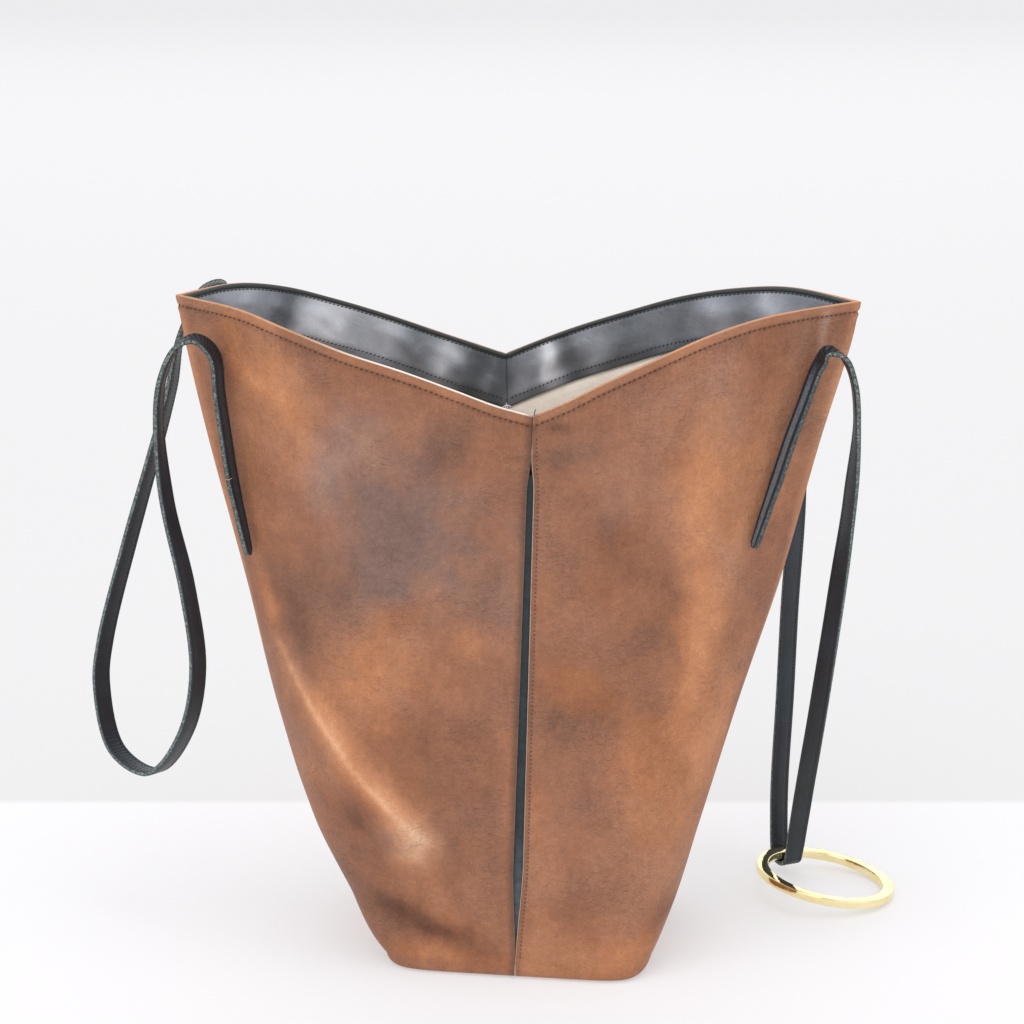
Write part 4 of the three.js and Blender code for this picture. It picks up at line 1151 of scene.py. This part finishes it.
def plus(tree, *terms):
    total = terms[0]
    for term in terms[1:]:
        total = calc(tree, "ADD", total, term)
    return total


def centred(tree, source, amount):
    """A value round 0.5 turned into one round 0, times amount."""
    return calc(tree, "MULTIPLY_ADD", source, amount, -0.5 * amount)


def ramp(tree, source, stops):
    made = tree.nodes.new("ShaderNodeValToRGB")
    tree.links.new(source, made.inputs["Fac"])
    elements = made.color_ramp.elements
    while len(elements) < len(stops):
        elements.new(0.5)
    for element, (position, colour) in zip(elements, stops):
        element.position = position
        element.color = colour
    return made.outputs["Color"]


def spread(tree, source, low, high, to_low=0.0, to_high=1.0):
    made = tree.nodes.new("ShaderNodeMapRange")
    made.interpolation_type = "SMOOTHSTEP"
    if low > high:
        low, high, to_low, to_high = high, low, to_high, to_low
    tree.links.new(source, made.inputs["Value"])
    for key, value in (("From Min", low), ("From Max", high), ("To Min", to_low), ("To Max", to_high)):
        made.inputs[key].default_value = value
    return made.outputs["Result"]


def mix(tree, factor, a, b, blend="MIX"):
    made = tree.nodes.new("ShaderNodeMix")
    made.data_type = "RGBA"
    made.blend_type = blend
    for socket, value in ((made.inputs[0], factor), (made.inputs[6], a), (made.inputs[7], b)):
        if isinstance(value, (int, float, tuple)):
            socket.default_value = value
        else:
            tree.links.new(value, socket)
    return made.outputs[2]


def bump(tree, height, strength, distance, before=None):
    made = tree.nodes.new("ShaderNodeBump")
    made.inputs["Strength"].default_value = strength
    made.inputs["Distance"].default_value = distance
    tree.links.new(height, made.inputs["Height"])
    if before is not None:
        tree.links.new(before, made.inputs["Normal"])
    return made.outputs["Normal"]


def rgb(r, g, b):
    """sRGB values up to 255 as a linear colour."""
    shares = (r / 255, g / 255, b / 255)
    return (*(v / 12.92 if v <= 0.04045 else ((v + 0.055) / 1.055) ** 2.4 for v in shares), 1.0)


def tan_material():
    made, tree, shader = material("tan_pull_up_leather")
    tone_light_and_shade, grey = attribute(tree, "tone_light_and_shade"), attribute(tree, "grey")
    down, seam, edge = attribute(tree, "down"), attribute(tree, "seam"), attribute(tree, "edge")
    crest, left = attribute(tree, "crest"), attribute(tree, "left")
    clouds = noise(tree, 11.0, 3.0, 0.55, (1, 1, 0.8), 0.5)
    patches = noise(tree, 34.0, 5.0, 0.62, (1, 1, 0.85), 0.4)
    other = noise(tree, 17.0, 4.0, 0.6, (1, 1, 1.2), 0.6, (0.4, 0.3, 0.2))
    streaks = noise(tree, 60.0, 4.0, 0.6, (1.6, 1.6, 0.35), 0.5)
    fine = noise(tree, 240.0, 6.0, 0.7)
    specks = noise(tree, 900.0, 2.0, 0.6)
    # The clouds' tone holds the leather's own colour with painted highlights and painted shade; the crest adds pull-up
    # lightening with a painted highlight.
    value = plus(
        tree, centred(tree, clouds, 0.5), centred(tree, patches, 0.3), centred(tree, streaks, 0.12),
        centred(tree, fine, 0.3), centred(tree, specks, 0.2), times(tree, tone_light_and_shade, 0.3), times(tree, crest, 0.3),
    )
    lines = cells(tree, 210.0, stretch=(1, 1, 1.6))
    lines = spread(tree, calc(tree, "ADD", lines, centred(tree, fine, 0.16)), 0.045, 0.01)
    creased = spread(tree, other, 0.47, 0.62)
    # Painted highlight: the leather is made lighter within about 9 mm of the side folds, as light catching the folded
    # edge.
    folded = spread(tree, attribute(tree, "fold"), 9.0, 0.0)
    value = plus(tree, value, times(tree, times(tree, lines, creased), 0.05), times(tree, folded, 0.22))
    value = calc(tree, "ADD", value, 0.5, clamp=True)
    vivid = ramp(tree, value, [
        (0.0, rgb(76, 44, 27)), (0.26, rgb(122, 75, 48)), (0.5, rgb(166, 106, 70)),
        (0.74, rgb(204, 138, 95)), (1.0, rgb(240, 182, 138)),
    ])
    dull = ramp(tree, value, [
        (0.0, rgb(76, 57, 51)), (0.26, rgb(114, 87, 77)), (0.5, rgb(152, 119, 106)),
        (0.74, rgb(188, 150, 132)), (1.0, rgb(236, 200, 178)),
    ])
    greyness = calc(tree, "ADD", grey, calc(tree, "MULTIPLY_ADD", other, 0.9, -0.53), clamp=True)
    colour = mix(tree, greyness, vivid, dull)
    # painted highlight on the turned rim, painted shade along the sewn line below it and a painted highlight on the top
    # of the edge
    turned = spread(tree, down, 5.6, 4.4)
    colour = mix(tree, times(tree, turned, 0.16), colour, rgb(212, 148, 104))
    # Painted shade: a darker band along the sewn groove and just below it.
    sewn = calc(tree, "MULTIPLY", spread(tree, down, 5.2, 6.2), spread(tree, down, 9.6, 6.9))
    colour = mix(tree, times(tree, sewn, 0.28), colour, rgb(92, 60, 44))
    # Painted highlight: a pale line along the top of the rim edge.
    top = spread(tree, down, 0.8, 0.3)
    place = tree.nodes.new("ShaderNodeSeparateXYZ")
    tree.links.new(place_of(tree), place.inputs["Vector"])
    colour = mix(tree, times(tree, top, 0.55), colour, rgb(232, 176, 134))
    # Painted highlight: a near-white line on the rim top at the front of the left panel, towards the front seam.
    rim_top_highlight = calc(tree, "MULTIPLY", left, spread(tree, place.outputs["X"], -0.13, -0.07))
    rim_top_highlight = calc(tree, "MULTIPLY", rim_top_highlight, spread(tree, place.outputs["Y"], 0.0, -0.02))
    colour = mix(tree, times(tree, top, rim_top_highlight), colour, rgb(250, 240, 230))
    # band beside the slit of the right panel and painted shadow along the seam edges of the left one
    band = calc(tree, "MULTIPLY", spread(tree, seam, 3.8, 2.4), calc(tree, "SUBTRACT", 1.0, left))
    colour = mix(tree, times(tree, band, 0.35), colour, rgb(110, 72, 54))
    # Painted shadow: the left panel is darkened within a few millimetres of its seam edges.
    seam_edge_shadow = calc(tree, "MULTIPLY", spread(tree, seam, 5.5, 0.5), left)
    colour = mix(tree, times(tree, seam_edge_shadow, 0.6), colour, rgb(78, 56, 46))
    raw = calc(tree, "MULTIPLY", spread(tree, edge, 0.5, 0.95), calc(tree, "SUBTRACT", 1.0, times(tree, left, 0.75)))
    raw = calc(tree, "MULTIPLY", raw, spread(tree, place.outputs["Z"], 0.326, 0.319, 0.12, 1.0))
    colour = mix(tree, raw, colour, rgb(236, 214, 196))
    inside = attribute(tree, "inside")
    flesh = ramp(tree, patches, [(0.3, rgb(150, 118, 94)), (0.7, rgb(184, 152, 126))])
    colour = mix(tree, times(tree, inside, spread(tree, down, 2.0, 5.0)), colour, flesh)
    tree.links.new(colour, shader.inputs["Base Color"])
    shine = plus(tree, centred(tree, patches, 0.3), centred(tree, fine, 0.15), times(tree, tone_light_and_shade, -0.04))
    shine = calc(tree, "ADD", shine, 0.52, clamp=True)
    tree.links.new(shine, shader.inputs["Roughness"])
    shader.inputs["Specular IOR Level"].default_value = 0.38
    grain = calc(tree, "MINIMUM", cells(tree, 520.0), 0.3)
    creases = cells(tree, 150.0, stretch=(1, 1, 1.7))
    creases = calc(tree, "MINIMUM", calc(tree, "ADD", creases, centred(tree, patches, 0.25)), 0.16)
    wrinkle = noise(tree, 130.0, 5.0, 0.62, (1, 1, 3.0), 1.6, (0.0, 0.25, 0.0))
    hang = noise(tree, 190.0, 4.0, 0.6, (3.0, 3.0, 0.6), 0.8)
    near_rim = times(tree, spread(tree, down, 34.0, 10.0), spread(tree, down, 5.8, 8.0))
    first = bump(tree, grain, 0.6, 0.0009)
    second = bump(tree, fine, 0.8, 0.0018, first)
    third = bump(tree, times(tree, wrinkle, calc(tree, "ADD", times(tree, creased, 0.6), 0.3)), 0.6, 0.002, second)
    fourth = bump(tree, times(tree, creases, creased), 0.6, 0.003, third)
    fifth = bump(tree, times(tree, hang, near_rim), 0.7, 0.002, fourth)
    tree.links.new(fifth, shader.inputs["Normal"])
    return made


def facing_material():
    made, tree, shader = material("satin_blue_grey_leather")
    down, tone_light_and_shade = attribute(tree, "down"), attribute(tree, "tone_light_and_shade")
    clouds = noise(tree, 22.0, 4.0, 0.6, (1, 1, 0.5), 0.6)
    fine = noise(tree, 300.0, 5.0, 0.65)
    # The zones paint highlights and shade of the puckers into the colour.
    value = plus(tree, centred(tree, clouds, 0.3), centred(tree, fine, 0.1), times(tree, tone_light_and_shade, 0.4))
    value = calc(tree, "ADD", value, 0.54, clamp=True)
    colour = ramp(tree, value, [
        (0.0, rgb(50, 54, 60)), (0.35, rgb(88, 93, 100)), (0.65, rgb(150, 154, 163)), (1.0, rgb(214, 216, 224)),
    ])
    rim = spread(tree, down, 3.4, 2.6)
    colour = mix(tree, rim, colour, rgb(44, 52, 52))
    low = spread(tree, down, FACING_HEIGHT - 7.5, FACING_HEIGHT - 3.0)
    colour = mix(tree, times(tree, low, 0.55), colour, rgb(48, 55, 62))
    colour = mix(tree, attribute(tree, "hidden"), colour, rgb(34, 42, 46))
    tree.links.new(colour, shader.inputs["Base Color"])
    tree.links.new(spread(tree, clouds, 0.3, 0.7, 0.48, 0.32), shader.inputs["Roughness"])
    shader.inputs["Specular IOR Level"].default_value = 0.6
    creases = noise(tree, 75.0, 5.0, 0.6, (1, 1, 1.4), 1.3)
    first = bump(tree, calc(tree, "MINIMUM", cells(tree, 700.0), 0.3), 0.25, 0.0005)
    second = bump(tree, creases, 0.3, 0.0018, first)
    tree.links.new(bump(tree, fine, 0.2, 0.0006, second), shader.inputs["Normal"])
    return made


def strip_material():
    made, tree, shader = material("dark_strip_leather")
    coordinates = tree.nodes.new("ShaderNodeSeparateXYZ")
    tree.links.new(place_of(tree), coordinates.inputs["Vector"])
    fine = noise(tree, 200.0, 4.0, 0.6)
    low = ramp(tree, fine, [(0.3, rgb(66, 77, 85)), (0.7, rgb(104, 115, 124))])
    high = ramp(tree, fine, [(0.3, rgb(22, 30, 33)), (0.7, rgb(42, 54, 60))])
    height = calc(tree, "ADD", coordinates.outputs["Z"], centred(tree, noise(tree, 30.0), 0.03))
    tree.links.new(mix(tree, spread(tree, height, 0.03, 0.10), low, high), shader.inputs["Base Color"])
    shader.inputs["Roughness"].default_value = 0.45
    tree.links.new(bump(tree, fine, 0.4, 0.001), shader.inputs["Normal"])
    return made


def strap_material():
    made, tree, shader = material("black_strap_leather")
    edge, side = attribute(tree, "edge"), attribute(tree, "across")
    along, bend, sewn = attribute(tree, "along"), attribute(tree, "bend"), attribute(tree, "sewn")
    clouds = noise(tree, 40.0, 4.0, 0.6)
    fine = noise(tree, 700.0, 4.0, 0.75)
    face = ramp(tree, clouds, [(0.3, rgb(18, 26, 33)), (0.75, rgb(34, 44, 54))])
    raw = ramp(tree, fine, [(0.34, rgb(40, 48, 48)), (0.52, rgb(96, 106, 104)), (0.68, rgb(168, 178, 176))])
    colour = mix(tree, spread(tree, edge, 0.45, 0.9), face, raw)
    middle = calc(tree, "ABSOLUTE", side)
    # Painted highlight: a light stripe down the middle of the face on the sewn ends.
    highlight_stripe = times(tree, spread(tree, middle, 0.62, 0.3), sewn)
    light = ramp(tree, fine, [(0.3, rgb(80, 92, 102)), (0.7, rgb(138, 152, 164))])
    colour = mix(tree, times(tree, highlight_stripe, 0.75), colour, light)
    painted = times(tree, spread(tree, edge, 0.3, 0.9), sewn)
    colour = mix(tree, times(tree, painted, 0.55), colour, rgb(46, 52, 54))
    tree.links.new(colour, shader.inputs["Base Color"])
    tree.links.new(spread(tree, edge, 0.2, 0.9, 0.4, 0.85), shader.inputs["Roughness"])
    shader.inputs["Specular IOR Level"].default_value = 0.55
    wave = calc(tree, "SINE", calc(tree, "MULTIPLY_ADD", along, 2.4, times(tree, noise(tree, 70.0, 3.0), 14.0)))
    first = bump(tree, calc(tree, "MINIMUM", cells(tree, 900.0), 0.3), 0.3, 0.0005)
    second = bump(tree, fine, 0.3, 0.0006, first)
    tree.links.new(bump(tree, times(tree, wave, bend), 0.6, 0.0007, second), shader.inputs["Normal"])
    return made


def cotton_material():
    made, tree, shader = material("cream_cotton_cloth")
    clouds = noise(tree, 30.0, 4.0, 0.55)
    fine = noise(tree, 500.0, 3.0, 0.7)
    value = plus(tree, centred(tree, clouds, 0.8), centred(tree, fine, 0.5))
    colour = ramp(tree, calc(tree, "ADD", value, 0.5), [(0.2, rgb(238, 224, 210)), (0.7, rgb(255, 247, 236))])
    # Painted shade: the tucked top of the cream lining is made dark, so the gap under the facing reads as a shadow
    # line.
    colour = mix(tree, attribute(tree, "tucked"), colour, rgb(34, 42, 46))
    tree.links.new(colour, shader.inputs["Base Color"])
    shader.inputs["Roughness"].default_value = 0.95
    shader.inputs["Specular IOR Level"].default_value = 0.15
    threads = []
    for direction in ("X", "Z"):
        wave = tree.nodes.new("ShaderNodeTexWave")
        wave.wave_type = "BANDS"
        wave.bands_direction = direction
        wave.inputs["Scale"].default_value = 420.0
        wave.inputs["Distortion"].default_value = 2.0
        tree.links.new(place_of(tree), wave.inputs["Vector"])
        threads.append(wave.outputs["Fac"])
    first = bump(tree, plus(tree, *threads), 0.2, 0.0002)
    tree.links.new(bump(tree, clouds, 0.6, 0.004, first), shader.inputs["Normal"])
    return made


def metal_material():
    made, tree, shader = material("polished_pale_gold")
    smears = noise(tree, 60.0, 3.0, 0.5)
    colour = ramp(tree, smears, [(0.3, rgb(244, 222, 160)), (0.7, rgb(253, 240, 196))])
    tree.links.new(colour, shader.inputs["Base Color"])
    shader.inputs["Metallic"].default_value = 1.0
    tree.links.new(spread(tree, smears, 0.3, 0.7, 0.05, 0.11), shader.inputs["Roughness"])
    dents = noise(tree, 160.0, 3.0, 0.5)
    tree.links.new(bump(tree, dents, 0.16, 0.001), shader.inputs["Normal"])
    return made


def thread_material(name, dark, light):
    made, tree, shader = material(name)
    twist = noise(tree, 1500.0, 2.0, 0.5)
    tree.links.new(ramp(tree, twist, [(0.35, dark), (0.65, light)]), shader.inputs["Base Color"])
    shader.inputs["Roughness"].default_value = 0.7
    tree.links.new(bump(tree, twist, 0.4, 0.0003), shader.inputs["Normal"])
    return made


def dress(piece, look, slot, *nodes):
    piece.data.materials.clear()
    piece.data.materials.append(look)
    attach(piece, "root")
    if nodes:
        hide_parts(*nodes)


tan = tan_material()
facing_look = facing_material()
strip_look = strip_material()
strap_look = strap_material()
cotton = cotton_material()
gold = metal_material()
brown_thread = thread_material("brown_thread", rgb(54, 36, 28), rgb(104, 72, 54))
dark_thread = thread_material("dark_thread", rgb(14, 17, 20), rgb(44, 50, 54))
pale_thread = thread_material("pale_thread", rgb(146, 104, 80), rgb(190, 148, 122))
white_thread = thread_material("white_thread", rgb(226, 224, 222), rgb(250, 249, 248))
gold_thread = thread_material("gold_thread", rgb(150, 130, 88), rgb(206, 188, 140))

rim_runs, rim_light_runs, inner_runs = [], [], []
for side, label in ((-1, "left"), (1, "right")):
    panel, panel_rows = build_panel(side)
    dress(panel, tan, "tan_leather", label + "_panel")
    facing, facing_rows = build_facing(side)
    dress(facing, facing_look, "dark_leather", "facing_" + label)
    rim_line = grid_run(panel_rows, RIM_DOWNS, RIM_SEWN, -side)
    rim_runs.append((*rim_line, 3.2, 2.3, 0.05, 0.3))
    rim_light_runs.append((*rim_line, 3.2, 0.9, -0.16, 0.6))
    for drop, slant in ((3.6, 0.2), (FACING_HEIGHT - 5.0, 0.7)):
        inner_runs.append((*grid_run(facing_rows, FACING_DROPS, drop, side), 2.6, 2.1, 0.05, slant))
dress(build_lining(), cotton, "cream_cotton", "lining")
dress(build_strip(), strip_look, "dark_leather", "seam_strip")

left_rows = anchor_rows("left_front") + loop_rows(LEFT_LOOP) + anchor_rows("left_back")[::-1]
right_rows = (
    anchor_rows("right_front") + loop_rows(RIGHT_LOOP_FRONT) + bend_rows() + loop_rows(RIGHT_LOOP_BACK)
    + anchor_rows("right_back")[::-1]
)
left_band, left_frames = build_band("left_strap_leather", left_rows, 0.15)
right_band, right_frames = build_band("right_strap_leather", right_rows, 1.0)
dress(left_band, strap_look, "dark_leather", "left_strap")
dress(right_band, strap_look, "dark_leather", "right_strap")
dress(build_ring(), gold, "ring_metal", "ring")

dress(stitch_mesh("rim_stitches", rim_runs, 0.46), brown_thread, "tan_leather")
dress(stitch_mesh("rim_stitch_lights", rim_light_runs, 0.26), pale_thread, "tan_leather")
slit_points, slit_normals = slit_run(2.7)
dress(
    stitch_mesh("slit_stitches", [(slit_points, slit_normals, 2.5, 1.5, 0.05, 0.1)], 0.36),
    brown_thread, "tan_leather",
)
dress(
    stitch_mesh("slit_stitch_lights", [(slit_points[3:], slit_normals[3:], 2.5, 0.9, 0.0, 0.1)], 0.3),
    pale_thread, "tan_leather",
)
dress(stitch_mesh("facing_stitches", inner_runs, 0.36), dark_thread, "dark_leather")
strap_runs = []
for frames in (left_frames, right_frames):
    for side in (-0.66, 0.66):
        for depth in (-1, 1):
            strap_runs.append((*strap_run(frames, side, depth), 2.6, 1.8, 0.08, 0.1))
dress(stitch_mesh("strap_stitches", strap_runs, 0.28), dark_thread, "dark_leather")


def tube(line, radius, turns=8):
    """Points and faces of a thin thread along a line, thinner at its ends."""
    line = np.array([spline(line, s) for s in np.linspace(0, 1, 5 * len(line))])
    ahead = unit(np.gradient(line, axis=0))
    points = []
    for index, (centre, forward) in enumerate(zip(line, ahead)):
        beside = unit(np.cross(forward, unit(np.array([0.31, 0.87, 0.39]))))
        above = np.cross(forward, beside)
        size = radius * min(1, 0.45 + 0.3 * index, 0.45 + 0.3 * (len(line) - 1 - index))
        for k in range(turns):
            a = 2 * math.pi * k / turns
            points.append(centre + (beside * math.cos(a) + above * math.sin(a)) * size)
    return points, tube_faces(len(line), turns)


def threads(name, lines, radius):
    points, faces = [], []
    for line in lines:
        more, fresh = tube(line, radius)
        faces += [[i + len(points) for i in face] for face in fresh]
        points += more
    made = mesh_object(name, np.array(points), faces)
    face_out(made)
    return made


def on_wall(name, x_share, z_share, away):
    """A point just off the outer wall at a place seen from the front."""
    x, z = x_share * TOP_WIDTH / 2, z_share * BAG_HEIGHT
    across = np.linspace(0, 0.98, 400)
    row = wall(name, across, np.full(400, z), 0.0, True, small_relief)
    index = int(np.argmin(np.abs(row[:, 0] - x)))
    return row[index] + wall_normal(name, np.array(across[index]), np.array(z)) * away


notch = wall("front_right", np.array(0.004), rim_height("front_right", np.array(0.004)), 0.0, True, small_relief)
loop = [notch + np.array(step) for step in ((0.3, 0.6, -1.0), (0.2, 0.3, 1.2), (0.5, 0.2, 2.6), (1.0, 0.2, 3.6))]
dress(threads("notch_thread", [loop], 0.3), dark_thread, "dark_leather")
tuft_z = float(rim_height("back_left", 0.0)) - FACING_HEIGHT + 3.0
tuft = wall("back_left", 0.0, np.array(tuft_z), 0.0, False) - np.array([0.0, FACING_LOW_INSET + 3.2, 0.0])
fibres = [
    [tuft, tuft + np.array((a, -0.6, b)) * 0.5, tuft + np.array((a * 1.1, -1.0, b * 0.8))]
    for a, b in ((-2.2, -1.6), (-0.8, -3.0), (1.0, -2.4), (2.6, -1.2), (0.2, 1.6))
]
dress(threads("facing_thread_tuft", fibres, 0.28), white_thread, "cream_cotton")
mark_places = ((0.385, 0.468), (0.393, 0.472), (0.402, 0.468), (0.404, 0.459))
mark = [on_wall("front_right", x, z, 0.12) for x, z in mark_places]
dress(threads("panel_mark", [mark], 0.22), pale_thread, "tan_leather")
tie = []
tie_centre, _, tie_across, tie_through, tie_width = left_frames[18]
for side, depth in ((0.5, -0.56), (0.8, -0.56), (1.06, -0.45), (1.08, 0.0), (1.06, 0.45), (0.8, 0.56), (0.5, 0.56)):
    tie.append(tie_centre - tie_across * side * tie_width / 2 + tie_through * depth * STRAP_THICKNESS)
dress(threads("strap_tie", [tie], 0.22), gold_thread, "dark_leather")


# Floor, light and camera
def stage_floor():
    size, depth = 12000.0, 12000.0
    made = mesh_object(
        "floor",
        np.array([(-size, -depth, 0), (size, -depth, 0), (size, depth, 0), (-size, depth, 0)]),
        [[0, 1, 2, 3]],
        smooth=False,
    )
    look, tree, shader = material("pale_floor")
    place = tree.nodes.new("ShaderNodeSeparateXYZ")
    tree.links.new(place_of(tree), place.inputs["Vector"])
    far = spread(tree, place.outputs["Y"], 0.205, 0.215)
    colour = mix(tree, far, rgb(193, 192, 194), rgb(176, 175, 176))
    tree.links.new(colour, shader.inputs["Base Color"])
    shader.inputs["Roughness"].default_value = 0.9
    shader.inputs["Specular IOR Level"].default_value = 0.1
    shader.inputs["Emission Color"].default_value = (1.0, 0.995, 1.0, 1.0)
    shader.inputs["Emission Strength"].default_value = 0.4
    made.data.materials.append(look)


def area_light(name, place, target, size, energy, colour=(1, 1, 1)):
    data = bpy.data.lights.new(name, "AREA")
    data.shape = "RECTANGLE"
    data.size, data.size_y = size[0] * MM, size[1] * MM
    data.energy = energy
    data.color = colour
    made = bpy.data.objects.new(name, data)
    bpy.context.scene.collection.objects.link(made)
    made.location = Vector(place) * MM
    made.rotation_mode = "QUATERNION"
    made.rotation_quaternion = (Vector(target) * MM - made.location).to_track_quat("-Z", "Y")
    return made


def sun_light(name, direction, strength, angle, colour=(1, 1, 1)):
    data = bpy.data.lights.new(name, "SUN")
    data.energy = strength
    data.angle = math.radians(angle)
    data.color = colour
    made = bpy.data.objects.new(name, data)
    bpy.context.scene.collection.objects.link(made)
    made.rotation_mode = "QUATERNION"
    made.rotation_quaternion = Vector(direction).to_track_quat("-Z", "Y")


stage_floor()
sun_light("key", (0.55, 0.75, -0.8), 0.6, 60)
sun_light("fill", (-0.8, 0.5, -0.5), 0.25, 60)
back = area_light("back", (0, 2600, 1100), (0, 0, 200), (3600, 1400), 9)
back.visible_camera = False
area_light("top", (0, -200, 1600), (0, 0, 300), (900, 600), 4.0, (1.0, 0.97, 0.93))
world = bpy.data.worlds.new("studio")
world.use_nodes = True
world.node_tree.nodes["Background"].inputs["Color"].default_value = (0.97, 0.98, 1.0, 1.0)
world.node_tree.nodes["Background"].inputs["Strength"].default_value = 0.86
bpy.context.scene.world = world
bpy.context.scene.view_settings.view_transform = "Standard"

camera_data = bpy.data.cameras.new("camera")
camera_data.sensor_width = 36.0
camera_data.lens = LENS
camera_data.clip_end = 100.0
camera = bpy.data.objects.new("camera", camera_data)
bpy.context.scene.collection.objects.link(camera)
view_direction = np.array([0.0, math.cos(CAMERA_TILT), -math.sin(CAMERA_TILT)])
camera.location = Vector((CAMERA_AIM - CAMERA_DISTANCE * view_direction) * MM)
camera.rotation_mode = "QUATERNION"
camera.rotation_quaternion = Vector(view_direction).to_track_quat("-Z", "Y")
bpy.context.scene.camera = camera
